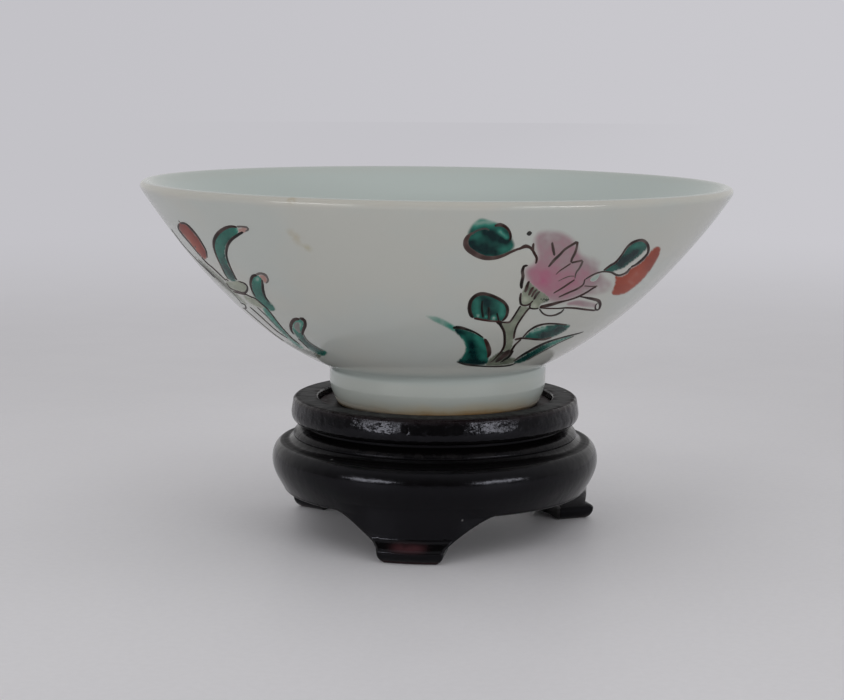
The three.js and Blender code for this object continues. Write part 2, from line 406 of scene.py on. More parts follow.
def enamel(name, thin, thick, roughness, grain, level):
    """Painted enamel. The values tone and cover say how dark it is and how far it hides the glaze."""
    graph = Graph(bpy.data.materials.new(name))
    place = graph.place()
    blotch = graph.product(graph.math("SUBTRACT", graph.noise(place, grain, 4, 0.6), 0.5), 0.4)
    tone = graph.math("ADD", graph.value("tone"), blotch, clamp=True)
    cover = graph.value("cover")
    colour = graph.mix(cover, glaze_colour(graph, place), graph.mix(tone, thin, thick))
    rough = graph.ramp(cover, 0.0, 1.0, GLAZE_ROUGHNESS, roughness)
    return graph.glossy(colour, rough, level, graph.bump(graph.noise(place, 1500, 2), 0.2, 0.00005))


LACQUER = (0.0022, 0.0019, 0.0021, 1.0)
LACQUER_WORN = (0.008, 0.007, 0.007, 1.0)
LACQUER_TINT = (0.87, 0.88, 1.0, 1.0)
BARE_WOOD = (0.06, 0.023, 0.027, 1.0)
DUST = (0.30, 0.30, 0.30, 1.0)
STREAK_RADIUS = 31  # millimetres, where the brushed streaks keep their scale


def lacquer(name, streaks, mottle, level):
    """Black lacquer on turned wood, brushed on thinly: streaked gloss, pores, worn edges and dust."""
    graph = Graph(bpy.data.materials.new(name))
    place = graph.place()
    x, y, z = graph.split(place)
    around = graph.product(graph.math("ARCTAN2", y, x), STREAK_RADIUS * MM)
    radius = graph.math("SQRT", graph.math("ADD", graph.product(x, x), graph.product(y, y)))
    across = graph.join(around, graph.product(radius, 0.2), graph.product(z, 0.3))
    turning = graph.join(graph.product(around, 0.04), radius, z)
    brushed = graph.noise(across, 620, 3, 0.65)
    fine_brushed = graph.noise(across, 1700, 2, 0.6)
    rings = graph.noise(turning, 900, 2, 0.5)
    worn = graph.product(graph.value("wear"), graph.ramp(graph.noise(place, 330, 4, 0.6), 0.42, 0.62))
    red = graph.product(graph.value("bare"), graph.ramp(graph.noise(place, 260, 4, 0.6), 0.15, 0.5))
    dust = graph.specks(place, 300, (0.05, 0.13), 0.945)
    colour = graph.mix(worn, LACQUER, LACQUER_WORN)
    colour = graph.mix(red, colour, BARE_WOOD)
    colour = graph.mix(graph.product(dust, 0.7), colour, DUST)
    dull = graph.product(graph.math("MAXIMUM", worn, dust), 0.25)
    upward = graph.split(graph.add("ShaderNodeNewGeometry").outputs["Normal"])["Z"]
    rough = graph.math("ADD", graph.ramp(brushed, 0.3, 0.7, 0.12, 0.21), dull)
    rough = graph.math("ADD", rough, graph.ramp(upward, 0.85, 0.98, 0.0, 0.35), clamp=True)
    normal = graph.bump(brushed, streaks, 0.00045)
    normal = graph.bump(fine_brushed, streaks * 0.6, 0.00012, normal)
    normal = graph.bump(rings, 0.12, 0.0001, normal)
    normal = graph.bump(graph.noise(place, 150, 3), 0.25, 0.0005, normal)
    normal = graph.bump(graph.noise(place, 480, 3), mottle, 0.00035, normal)
    return graph.glossy(colour, rough, level, normal, **{"Specular Tint": LACQUER_TINT})


# Cup


def bowl_ends():
    """The four points that the outside of the bowl is drawn from."""
    turn = WALL_AT_LIP / 2
    start = np.array((FOOT_RING_RADIUS, FOOT_RING_HEIGHT))
    end = np.array((LIP_RADIUS - turn + turn * math.sin(RISE_AT_LIP),
                    CUP_HEIGHT - turn - turn * math.cos(RISE_AT_LIP)))
    start_pull = start + FULLNESS_AT_FOOT * np.array((math.cos(RISE_AT_FOOT), math.sin(RISE_AT_FOOT)))
    end_pull = end - FULLNESS_AT_LIP * np.array((math.cos(RISE_AT_LIP), math.sin(RISE_AT_LIP)))
    return start, start_pull, end_pull, end


def cup_outline():
    """The outline of the cup from the middle of its base, round the outside and back down into the well.

    Returns it with the first index of the bowl's outside and the first index past the lip."""
    outer = cubic(*bowl_ends(), BOWL_STEPS)
    along = np.gradient(outer, axis=0)
    along /= np.linalg.norm(along, axis=1)[:, None]
    wall = np.linspace(WALL_AT_FOOT, WALL_AT_LIP, BOWL_STEPS + 1)[:, None]
    inner = outer + wall * np.column_stack([-along[:, 1], along[:, 0]])
    edge_outer = FOOT_RING_RADIUS - FOOT_BEVEL_WIDTH
    edge_inner = edge_outer - FOOT_EDGE_WIDTH
    ring_inner = FOOT_RING_RADIUS - FOOT_RING_WALL
    base = FOOT_RECESS_DEPTH
    foot = [
        (0, base),
        *quadratic((ring_inner - FOOT_RECESS_FILLET, base), (ring_inner, base),
                   (ring_inner, base - FOOT_RECESS_FILLET), 6),
        (ring_inner, FOOT_INNER_BEVEL),
        *quadratic((ring_inner, FOOT_INNER_BEVEL / 2), (ring_inner, 0.05), (edge_inner, 0), 4),
        *quadratic((edge_outer, 0), (FOOT_RING_RADIUS - FOOT_BEVEL_HOLLOW, FOOT_BEVEL_HEIGHT / 2),
                   (FOOT_RING_RADIUS, FOOT_BEVEL_HEIGHT), 20),
    ]
    rise = np.array((math.cos(RISE_AT_FOOT), math.sin(RISE_AT_FOOT)))
    joint = quadratic((FOOT_RING_RADIUS, FOOT_RING_HEIGHT - FOOT_JOINT_FILLET), outer[0],
                      outer[0] + FOOT_JOINT_FILLET * rise, 10)
    bowl = [p for p in outer if np.linalg.norm(p - outer[0]) > FOOT_JOINT_FILLET * 1.1]
    turn = WALL_AT_LIP / 2
    centre = (outer[-1] + inner[-1]) / 2
    first = math.atan2(*(outer[-1] - centre)[::-1])
    angles = [first + math.pi * n / 16 for n in range(1, 16)]
    lip = [centre + turn * np.array((math.cos(a), math.sin(a))) for a in angles]
    well_start = round(BOWL_STEPS * WELL_BLEND)
    floor = FOOT_RECESS_DEPTH + BASE_THICKNESS
    start = inner[well_start]
    corner = (start[0] - (start[1] - floor) * along[well_start][0] / along[well_start][1], floor)
    well = quadratic(start, corner, (0, floor), 32)
    lower = stepped([*foot, *joint], OUTLINE_STEP)
    outline = [*lower, *bowl, *lip, *inner[:well_start:-1], *well]
    return outline, len(lower) - 4, len(lower) + len(bowl) + len(lip) // 2


def settle(points):
    """Moves points of the round cup, measured from its foot edge, to where the real one leans and sags."""
    height = points[:, 2]
    share = np.clip((height - FOOT_RING_HEIGHT) / (CUP_HEIGHT - FOOT_RING_HEIGHT), 0, 1)
    across = points[:, 0] * math.cos(SLUMP_DIRECTION) + points[:, 1] * math.sin(SLUMP_DIRECTION)
    step = np.clip(np.searchsorted(LEAN_HEIGHTS, height, side="right") - 1, 0, len(LEAN_HEIGHTS) - 2)
    low, high = np.array(LEAN_HEIGHTS)[step], np.array(LEAN_HEIGHTS)[step + 1]
    shifts = np.array(LEAN_SHIFTS)
    lean = shifts[step] + (shifts[step + 1] - shifts[step]) * smooth((height - low) / (high - low))
    moved = points.copy()
    moved[:, 0] += lean * math.cos(CAMERA_TURN)
    moved[:, 1] += lean * math.sin(CAMERA_TURN)
    moved[:, 2] += SEAT_HEIGHT - LIP_SLUMP * share * across / LIP_RADIUS
    return moved


def make_cup(material):
    """Adds the cup and returns a tree of its outside, for finding places on it."""
    outline, bowl_from, lip_top = cup_outline()
    points, faces, owner = turned(outline, closed=False)
    points = settle(points)
    inside = (owner > lip_top).astype(float)
    outside = [f for f in faces if all(bowl_from <= owner[n] < lip_top for n in f)]
    cup = add_mesh("cup_body", points, faces, material, {"inside": inside}, sharp=60)
    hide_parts("cup")
    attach(cup, "cup")
    return BVHTree.FromPolygons(points.tolist(), outside)


# Stand


def stand_piece(name, node, points, faces, material, values):
    """Adds a piece of the stand in place of its CAD node."""
    piece = add_mesh(name, points, faces, material, values)
    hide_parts(node)
    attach(piece, "stand")


def corner_wear(outline, corners, reach):
    """How worn each outline point is: 1 at the given corners, 0 from reach millimetres away."""
    spots = np.array(outline, float)
    away = np.min([np.linalg.norm(spots - np.array(c, float), axis=1) for c in corners], axis=0)
    return 1 - smooth(away / reach)


def turned_piece(name, node, outline, material, corners, reach, bare=0.0):
    """A ring turned from a closed outline, worn along its corners. bare is how much wood shows there."""
    outline = stepped([*outline, outline[0]], 0.5)[:-1]
    points, faces, owner = turned(outline, closed=True)
    wear = corner_wear(outline, corners, reach)[owner]
    stand_piece(name, node, points, faces, material, {"wear": wear, "bare": wear * bare})


def make_rim(material):
    """The ring round the cup's foot. Its outer face leans back, so that it catches the light low down."""
    shoulder = RIM_TOP - ARRIS
    widest = (RIM_RADIUS, RIM_WIDEST)
    brow = (RIM_TOP_RADIUS + ARRIS, shoulder - ARRIS)
    outline = [
        (SEAT_RADIUS, WAIST_TOP),
        *cubic((NECK_RADIUS + ARRIS, WAIST_TOP), (RIM_RADIUS - 3 * ARRIS, WAIST_TOP),
               (RIM_RADIUS, WAIST_TOP + 2 * ARRIS), widest, 16),
        *cubic(widest, (RIM_RADIUS, RIM_WIDEST + 2 * ARRIS),
               (RIM_TOP_RADIUS + 1.3 * ARRIS, shoulder - 3.5 * ARRIS), brow, 16)[1:],
        *quadratic(brow, (RIM_TOP_RADIUS, RIM_TOP), (RIM_TOP_RADIUS - 3 * ARRIS, RIM_TOP), 10)[1:],
        *quadratic((SEAT_RADIUS + 2 * ARRIS, RIM_TOP), (SEAT_RADIUS, RIM_TOP),
                   (SEAT_RADIUS, RIM_TOP - 2 * ARRIS), 6),
    ]
    corners = [(RIM_TOP_RADIUS, RIM_TOP), (SEAT_RADIUS, RIM_TOP)]
    turned_piece("stand_rim_ring", "stand_rim", outline, material, corners, 1.6, 0.1)


def make_board(material):
    """The round board under the cup's foot."""
    outline = stepped([
        (0, WAIST_TOP),
        (BOARD_RADIUS, WAIST_TOP),
        *quadratic((BOARD_RADIUS, SEAT_HEIGHT - ARRIS), (BOARD_RADIUS, SEAT_HEIGHT),
                   (BOARD_RADIUS - ARRIS, SEAT_HEIGHT), 4),
        (0, SEAT_HEIGHT),
    ], 1.0)
    points, faces, owner = turned(outline, closed=False)
    wear = corner_wear(outline, [(BOARD_RADIUS, SEAT_HEIGHT)], 3.5)[owner]
    stand_piece("stand_board", "stand_seat_board", points, faces, material,
                {"wear": wear, "bare": wear * 0.6})


def make_waist(material):
    """The narrow ring between rim and apron, with its small bead."""
    pull = (NECK_FOOT - WAIST_BEAD_FOOT) / 3
    spread = (WAIST_BEAD_RADIUS + 0.7, APRON_TOP + 0.1)
    outline = [
        (WAIST_BORE_RADIUS, APRON_TOP),
        *quadratic((APRON_TOP_RADIUS, APRON_TOP), spread, (WAIST_BEAD_RADIUS, WAIST_BEAD_FOOT), 10),
        *cubic((WAIST_BEAD_RADIUS, WAIST_BEAD_FOOT), (WAIST_BEAD_RADIUS + ARRIS, WAIST_BEAD_FOOT + pull),
               (WAIST_BEAD_RADIUS - ARRIS, NECK_FOOT - pull), (NECK_RADIUS, NECK_FOOT), 20)[1:],
        (NECK_RADIUS, WAIST_TOP),
        (WAIST_BORE_RADIUS, WAIST_TOP),
    ]
    corners = [(WAIST_BEAD_RADIUS, WAIST_BEAD)]
    turned_piece("stand_waist_ring", "stand_waist", outline, material, corners, 1.0)


def drum_line():
    """The bulging side of the apron: (radius, height) from its underside to its top."""
    pull = (APRON_WIDEST - FOOT_HEIGHT) / 3
    bulge = APRON_RADIUS - APRON_LOWER_RADIUS
    low = cubic((APRON_LOWER_RADIUS, FOOT_HEIGHT), (APRON_LOWER_RADIUS + bulge / 2, FOOT_HEIGHT + pull),
                (APRON_RADIUS, APRON_WIDEST - pull), (APRON_RADIUS, APRON_WIDEST), 24)
    high = cubic((APRON_RADIUS, APRON_WIDEST), (APRON_RADIUS, APRON_SHOULDER),
                 ((APRON_RADIUS + APRON_TOP_RADIUS) / 2, APRON_TOP), (APRON_TOP_RADIUS, APRON_TOP), 24)
    return np.vstack([low, high[1:]])


def leg_line():
    """The face of a leg: (radius, height) from its sole over the toe and the ankle up into the apron."""
    toe = quadratic((SOLE_RADIUS, 0), (TOE_RADIUS, TOE_HEIGHT / 3), (TOE_RADIUS, TOE_HEIGHT), 12)
    ankle = cubic((TOE_RADIUS, TOE_HEIGHT), (TOE_RADIUS, TOE_HEIGHT + 3 * ARRIS),
                  (ANKLE_RADIUS, ANKLE_HEIGHT - 4 * ARRIS), (ANKLE_RADIUS, ANKLE_HEIGHT), 16)
    shin = quadratic((ANKLE_RADIUS, ANKLE_HEIGHT), (ANKLE_RADIUS, FOOT_HEIGHT - ARRIS),
                     (LEG_TOP_RADIUS, LEG_TOP), 12)
    return np.vstack([toe, ankle[1:], shin[1:]])


def carved_edge():
    """The lower outline of half a leg, cut through from the front: (distance from its middle, height)."""
    sole = [(x, 0) for x in np.linspace(0, SOLE_HALF_WIDTH, 14)]
    toe = quadratic((SOLE_HALF_WIDTH, 0), (TOE_HALF_WIDTH, TOE_HEIGHT / 3), (TOE_HALF_WIDTH, TOE_HEIGHT), 12)
    flare = quadratic((TOE_HALF_WIDTH + ARRIS, TOE_HEIGHT + 2 * ARRIS), FLARE_PULL,
                      (FLARE_HALF_WIDTH, FOOT_HEIGHT), 30)
    return np.array([*sole, *toe[1:], *flare])


DRUM, LEG = drum_line(), leg_line()


def face_radius(across, height):
    """How far out the apron's face is, at a distance from a leg's middle and a height."""
    on_drum = np.interp(height, DRUM[:, 1], DRUM[:, 0])
    if height >= LEG_TOP:
        return on_drum
    on_leg = np.interp(height, LEG[:, 1], LEG[:, 0])
    return on_drum + (on_leg - on_drum) * (1 - smooth((across - LEG_FACE_HALF) / LEG_FACE_BLEND))


def apron_column(low_point, inward, top, way):
    """One loop of the skin: angle from the leg's middle, radius, height and wear of each point.

    low_point is where the loop meets the carved edge, inward the direction from there into the wood, and
    top how far across it ends. way is 0 along a leg and runs up to 1 half-way to the next one."""
    across, low = low_point
    off_leg = LEG_FACE_BLEND if way else 0

    def turn(radius, x):
        start = math.asin(x / radius)
        return start + (math.pi / FOOT_COUNT - start) * way

    start = np.array(low_point) + inward * CARVED_ROUND
    rim = float(face_radius(start[0] + off_leg, start[1])) - CARVED_ROUND
    bore_turn = turn(APRON_BORE_RADIUS, across)
    loop = [(bore_turn, APRON_BORE_RADIUS, height, 0.0) for height in np.linspace(APRON_TOP, low, 9)[:-1]]
    loop += [(turn(radius, across), radius, low, 0.0) for radius in np.linspace(APRON_BORE_RADIUS, rim, 6)]
    for angle in np.linspace(0, math.pi / 2, 6)[1:]:
        x, z = np.array(low_point) + inward * CARVED_ROUND * (1 - math.cos(angle))
        radius = rim + CARVED_ROUND * math.sin(angle)
        loop.append((turn(radius, x), radius, z, 1.0))
    for share in np.linspace(0, 1, FACE_ROWS + 1)[1:]:
        x, z = start + (np.array((top, APRON_TOP)) - start) * share
        radius = float(face_radius(x + off_leg, z))
        loop.append((turn(radius, x), radius, z, 0.0))
    for radius in np.linspace(APRON_TOP_RADIUS, APRON_BORE_RADIUS, 6)[1:-1]:
        loop.append((turn(radius, top), radius, APRON_TOP, 0.0))
    return loop


def make_apron(material):
    """The bulging apron and its three carved feet, as one skin that runs smoothly from drum to legs."""
    edge = carved_edge()
    along = np.gradient(edge, axis=0)
    along /= np.linalg.norm(along, axis=1)[:, None]
    along[edge[:, 0] < SOLE_HALF_WIDTH - ARRIS] = (1, 0)
    inward = np.column_stack([-along[:, 1], along[:, 0]])
    lengths = np.concatenate([[0], np.cumsum(np.linalg.norm(np.diff(edge, axis=0), axis=1))])
    tops = FLARE_HALF_WIDTH * lengths / lengths[-1]
    half = [apron_column(*column, 0) for column in zip(edge, inward, tops)]
    half += [apron_column((FLARE_HALF_WIDTH, FOOT_HEIGHT), np.array((0, 1)), FLARE_HALF_WIDTH, way)
             for way in np.arange(1, COLUMNS_BETWEEN + 1) / COLUMNS_BETWEEN]
    mirrored = [[(-angle, *rest) for angle, *rest in loop] for loop in half[-2:0:-1]]
    sector = [*mirrored, *half]
    points, wear, bare = [], [], []
    for foot in range(FOOT_COUNT):
        middle = -math.pi / 2 + 2 * math.pi * foot / FOOT_COUNT
        for angle, radius, height, worn in (point for loop in sector for point in loop):
            points.append((radius * math.cos(middle + angle), radius * math.sin(middle + angle), height))
            # The lacquer is rubbed through on the front toe, and thin along the soles
            spot = (np.array((radius * math.sin(angle), height)) - TOE_PATCH) / TOE_PATCH_HALF
            on_toe = math.exp(-spot[0] ** 4 - spot[1] ** 2)
            on_sole = 0.8 * math.exp(-((height - 0.25) / 0.3) ** 2)
            wear.append(max(worn * 0.8, on_sole))
            outside = radius > APRON_LOWER_RADIUS - ARRIS
            bare.append(max(on_toe * (0.5 if foot else 1.0), on_sole * 0.35) if outside else 0.0)
    count, size = len(sector) * FOOT_COUNT, len(sector[0])
    faces = []
    for n in range(count):
        after = (n + 1) % count
        for k in range(size):
            up = (k + 1) % size
            faces.append((n * size + k, after * size + k, after * size + up, n * size + up))
    stand_piece("stand_apron_and_feet", "stand_apron", points, faces, material,
                {"wear": wear, "bare": bare})


# Camera


def camera_axes():
    """Unit vectors to the right, up and forwards of the photograph's view."""
    right = Vector((math.cos(CAMERA_TURN), math.sin(CAMERA_TURN), 0))
    level = Vector((-math.sin(CAMERA_TURN), math.cos(CAMERA_TURN), 0))
    forward = level * math.cos(CAMERA_DIP) - Vector((0, 0, math.sin(CAMERA_DIP)))
    up = level * math.sin(CAMERA_DIP) + Vector((0, 0, math.cos(CAMERA_DIP)))
    turned_right = right * math.cos(CAMERA_ROLL) + up * math.sin(CAMERA_ROLL)
    turned_up = up * math.cos(CAMERA_ROLL) - right * math.sin(CAMERA_ROLL)
    return turned_right, turned_up, forward


def make_camera():
    """The camera that took the photograph."""
    right, up, forward = camera_axes()
    data = bpy.data.cameras.new("camera")
    data.sensor_fit = "HORIZONTAL"
    data.sensor_width = SENSOR
    data.lens = FOCAL_PIXELS * SENSOR / PICTURE_WIDTH
    data.clip_start, data.clip_end = 0.01, 20
    camera = bpy.data.objects.new("camera", data)
    turn = Matrix((right, up, -forward)).transposed().to_4x4()
    camera.matrix_world = Matrix.Translation(CAMERA_PLACE) @ turn
    bpy.context.scene.collection.objects.link(camera)
    bpy.context.scene.camera = camera


def sight(pixel):
    """The direction from the camera through a pixel of the photograph."""
    right, up, forward = camera_axes()
    x, y = pixel
    side = (x - PICTURE_WIDTH / 2) / FOCAL_PIXELS
    rise = (PICTURE_HEIGHT / 2 - y) / FOCAL_PIXELS
    return (forward + right * side + up * rise).normalized()


# Painted decoration

PEN_STEP = 1.2  # pixels between the points of a stroke
GRID_STEP = 1.5  # pixels between the points of a filled area
LINE_SPREAD = 1.08  # ink spreads to this many times the drawn width
LINE_RELIEF = 0.07  # millimetres of enamel above the glaze
OUTLINE, GREEN, PALE = "enamel_outline", "enamel_green", "enamel_pale_green"
ROSE, RED = "enamel_rose", "enamel_red"
AREA_RELIEFS = {GREEN: 0.045, PALE: 0.03, ROSE: 0.02, RED: 0.04}
EDGE_SINK = 0.02  # the edges of a line end just below the glaze
AREA_EDGE = 0.004  # the edge of an area stands this far above it
BODY_DEPTH = 0.06
LEAST_SEEN = 2.2  # pixels that a millimetre across a stroke is taken to show at least
GRAZING = 0.08  # paint stays where the glaze faces the camera at least this much
SHIFT_REACH = 4  # pixels that a painted point may move inwards for that
SHIFT_STEP = 0.25
INK_WAVE = 9  # pixels over which the ink of a stroke runs darker and paler
MOTTLE_SIZE = 5  # the same for the enamel of an area, and how much
MOTTLE = 0.18
LINE_ACROSS = (-1, -0.75, -0.35, 0, 0.35, 0.75, 1)

# Front spray. Points, radii and widths are pixels of the photograph.
# A line is its points, its widths along the way, how dark it is, and how well it covers.
FRONT_LINES = {
    "leaf_a_under": ([(473, 232), (468.5, 236), (466, 241.5), (467.5, 247.5), (473.5, 252.5), (480, 256),
        (487, 257.8), (496, 257.4), (504, 255), (510.5, 252), (517, 249.5)],
        (2.5, 5, 6.6, 7, 6.6, 5.6, 4.6, 3.8, 3.2, 2.6), 0.2, 0.95),
    "leaf_a_stalk": ([(515, 250), (520.6, 248.3), (525.6, 246.3), (531, 248.2), (534.5, 253.5),
        (536.7, 258.3), (535.8, 264)], (2.4, 2.6, 4.4, 3, 3, 3, 2.2), 0.35, 1),
    "leaf_a_top": ([(494, 226), (499.5, 224.8), (505, 226.7), (509, 231), (510.5, 236.7), (509.5, 241)],
        (2.5, 4.4, 3.8, 3.2, 3.2, 3.4), 0.5, 1),
    "leaf_a_vein": ([(471, 234.5), (477, 230.5), (485, 228.5), (490, 230.5)], (3, 2.6, 2), 1, 0.9),
    "dot": ([(526.6, 234), (528, 233.7), (529.3, 233.4), (530.6, 233.1), (532, 232.8)], (4, 5, 4), 0.75,
        0.95),
    "petal_1": ([(533.6, 242.8), (532.9, 248), (533.2, 252.5)], (2.2, 3, 2.8), 0.3, 0.95),
    "petal_2": ([(528.3, 265.6), (524.2, 266.3), (522.5, 271), (523, 276), (522, 281), (521.4, 285),
        (521.7, 289)], (1.8, 3, 3.6, 3.6, 3.8, 3.8, 2.6), 0.7, 1),
    "petal_3": ([(552, 241.9), (553.1, 248.9), (554.6, 255.8)], (2.4, 3.4, 2.6), 0.35, 0.95),
    "petal_4": ([(548.3, 267.2), (553.9, 260.3), (559.4, 255), (565, 249.3), (570.6, 245.6),
        (577.4, 241.6)], (2, 3.6, 3.2, 2.8, 2.6, 3.2), 0.35, 0.95),
    "petal_5": ([(577.5, 241.5), (576.7, 247.2), (575, 252.8), (571.9, 259), (571.1, 262.8)],
        (3, 2.8, 3.2, 3.2, 2.6), 0.25, 0.95),
    "petal_6": ([(571.1, 262.8), (576.1, 261.7), (582.8, 260.3)], (2.4, 2.4, 2.6), 0.25, 0.95),
    "petal_7": ([(582.8, 260.6), (581.1, 265), (578.9, 268.9), (576.1, 272.8), (574.8, 279)],
        (2.6, 2.8, 2.4, 1.8, 1.4), 0.25, 0.9),
    "petal_8": ([(571.1, 263.2), (566.7, 266.1), (559.4, 271.1), (555.5, 275)], (1.7, 1.7, 1.5, 1), 0.0,
        0.95),
    "petal_9": ([(575, 276.1), (569.4, 276.3), (563.9, 278.3), (557.5, 281.5)], (1.2, 1.4, 0.9), 0.0, 0.95),
    "petal_10": ([(575, 279.4), (568.3, 283.9), (561.7, 288.3), (553, 293.5)], (1.6, 2.2, 2, 1.3), 0.1,
        0.97),
    "petal_11": ([(585, 278.5), (583.5, 283.9), (580.6, 286.7), (576.1, 289.4), (569.4, 292.2),
        (558, 297.4)], (1.7, 2, 2.4, 2.2, 2, 1.3), 0.15, 0.97),
    "petal_12": ([(583.9, 285.8), (591.7, 286.4), (597.8, 286.1)], (1.5, 1.6, 2), 0.2, 0.97),
    "petal_13": ([(596.8, 286.4), (592.8, 288.3), (587.2, 292), (579.4, 296.1), (570.6, 299.4),
        (557.2, 302.8), (549.4, 305), (539.5, 307)], (1.8, 2, 2.2, 2.2, 2.2, 3.6, 4, 3), 0.45, 1),
    "petal_14": ([(579.4, 296.4), (587.2, 297.8), (593.9, 299.2), (598.4, 300.8), (600.3, 304.6),
        (599, 309), (596, 309.8), (595.3, 305.8), (597.6, 303)], (1.8, 2.4, 3.4, 3.8, 4, 3.4, 2.4, 2, 1.6),
        0.55, 1),
    "petal_15": ([(595.6, 310.6), (584.4, 309.4), (576.1, 308.3), (567.2, 307.8), (558, 308.4),
        (548.3, 308.4), (539.4, 307.8)], (2.4, 2.8, 2.8, 2.4, 1.8, 1.8, 1.6), 0.35, 1),
    "petal_loop": ([(539.2, 308.6), (542.8, 313.3), (548.3, 315.6), (555, 315), (561.1, 312.2),
        (563.9, 308.9)], (1.8, 2.2, 2), 0.55, 0.95),
    "calyx_1": ([(529, 280.6), (527.3, 285.5), (525.2, 292.5)], (2.6, 4, 3.8), 0.5, 1),
    "calyx_2": ([(533.3, 286.6), (530.8, 291), (528.8, 295.8)], (3, 4, 3.2), 0.35, 1),
    "calyx_3": ([(536.8, 289), (533.6, 293), (531.5, 297.5)], (2.2, 3, 2.4), 0.35, 1),
    "calyx_4": ([(540, 291), (536.3, 294.8), (533.8, 300)], (2.4, 3.4, 2.8), 0.7, 1),
    "calyx_5": ([(521, 292.5), (520.2, 299), (521.3, 304.3), (526, 305.3), (530, 303.6), (533.3, 300)],
        (2.2, 2.8, 2.4, 2.2, 2), 0.6, 1),
    "calyx_6": ([(530.3, 303.3), (530, 307.8), (534.5, 308.7), (539, 308.2)], (2.4, 2.2, 1.8), 0.6, 1),
    "stem_left": ([(520.6, 305.6), (517, 311.5), (512.5, 318.6), (509.5, 322), (504.4, 322.4),
        (499, 321.8)], (2.2, 2.2, 2.4, 2.2, 2), 0.6, 1),
    "stem_right": ([(530, 307.5), (526, 311.7), (521, 318.8), (516.6, 326), (514.4, 333), (513.8, 339)],
        (2.4, 2.6, 2.6, 2.6), 0.6, 1),
    "stem_low_left": ([(498, 321.3), (501.7, 326.7), (504.2, 332.2), (504.8, 340), (504, 346.5),
        (500.5, 352.5), (494, 359.5), (489.5, 363)], (3.6, 3.2, 3, 3, 2.8, 2.4, 1.8), 0.65, 1),
    "stem_low_right": ([(521, 339.4), (515.6, 344.4), (512.4, 349), (510, 353.3)], (2.2, 2.8, 3, 3), 0.65,
        1),
    "stem_knot_1": ([(509, 349.5), (505, 354.5), (500, 359), (495.5, 362.5)], (7, 10, 8, 3.4), 0.6, 0.97),
    "stem_knot_2": ([(513, 350.5), (509, 356.5), (504, 360), (500, 363)], (3, 3.6, 3.2, 2), 0.9, 1),
    "joint_blob": ([(496.7, 321), (499.4, 323), (501.7, 325.5)], (4, 4.8, 3.6), 0.6, 1),
    "leaf_b_rim": ([(473, 318), (470.6, 313.5), (469.6, 307.8), (471, 301), (475.5, 296), (482, 293.8),
        (490, 295.2), (498, 298.6), (504.4, 303), (507.4, 309), (506.2, 316), (502.2, 321.2)],
        (4, 4.4, 4.4, 4.2, 4, 4, 4, 4, 3.8, 3.8, 3.6, 3), 0.65, 1),
    "leaf_b_base": ([(502, 321.4), (492, 321), (482, 319.6), (474, 317.8)], (2.4, 2.6, 3, 3.4), 0.15, 1),
    "leaf_b_vein_1": ([(482.4, 300), (481.8, 308), (483.3, 318)], (2.6, 3.2, 3), 1, 1),
    "leaf_b_vein_2": ([(488.6, 306), (489, 319.5)], (3, 3.4, 2.8), 1, 1),
    "leaf_b_vein_3": ([(496.7, 312), (497.8, 316.7), (499, 321)], (2.4, 3, 3), 1, 1),
    "leaf_c_top": ([(452.2, 328), (457.8, 327.4), (466.7, 329.3), (475.6, 332.8), (483.3, 337.8)],
        (3, 3.8, 2.8, 2.4, 2), 0.85, 1),
    "leaf_c_right": ([(484.5, 338.5), (486.9, 343.8), (488.6, 349.5), (489, 354.4), (487.4, 358)],
        (3.4, 4.8, 5.6, 5, 3), 0.4, 1),
    "leaf_c_base": ([(457.5, 361.6), (464.4, 364), (472.2, 365.3), (486.7, 366.4), (500, 366.4), (511, 365),
        (516.7, 362.4)], (3, 3.6, 2.6, 2.4, 2.6, 2.6, 1.6), 0.8, 1),
    "leaf_d_top": ([(522.8, 337.4), (528.3, 331.4), (536.7, 326.2), (546.7, 323.8), (557.8, 323.9),
        (567, 325)], (2, 2.4, 2.4, 2.4, 2), 0.65, 1),
    "leaf_d_under": ([(514.5, 339.6), (522.2, 338.2), (528, 338.4), (536.7, 339.2), (544.4, 339.2),
        (552, 337.2)], (2.4, 2.6, 3.2, 3.6, 3.6, 2.2), 0.5, 1),
    "blade": ([(513.3, 361.5), (520, 356.7), (526.7, 352.6), (536.7, 347.1), (544.4, 343.3), (553.3, 340.1),
        (562.2, 337.5), (570, 335.5), (577.8, 333.6), (584, 331.7)],
        (2.6, 3.2, 3.4, 3.2, 2.8, 2.6, 2.6, 2.8, 3, 1.2), 0.95, 1),
    "blade_under": ([(526, 360.4), (537, 354.4), (548, 348.6), (560, 342.4), (574, 336)],
        (2.6, 1.8, 1.4, 1.6), 1, 0.9),
    "leaf_f_top": ([(603.5, 270.6), (610.6, 265.4), (616, 262), (621.7, 255), (627.2, 247.2), (634, 241.9),
        (642, 240.2), (647.2, 244.2), (648.4, 251), (644.5, 257.4), (637.2, 263.7), (630.6, 267.2)],
        (2, 2.4, 2.6, 2.4, 2.4, 3, 3.6, 3.6, 3.4, 3, 2.8, 2.4), 0.6, 1),
    "leaf_f_under": ([(630.6, 267.4), (626.5, 272.4), (620, 275.2), (616, 274.8), (611, 272.2),
        (603.5, 271.6), (597, 273), (590.5, 276), (585, 279.5)], (2.8, 2.6, 2.8, 2.6, 2.2, 2, 2, 1.8, 1.4),
        0.45, 0.95),
}

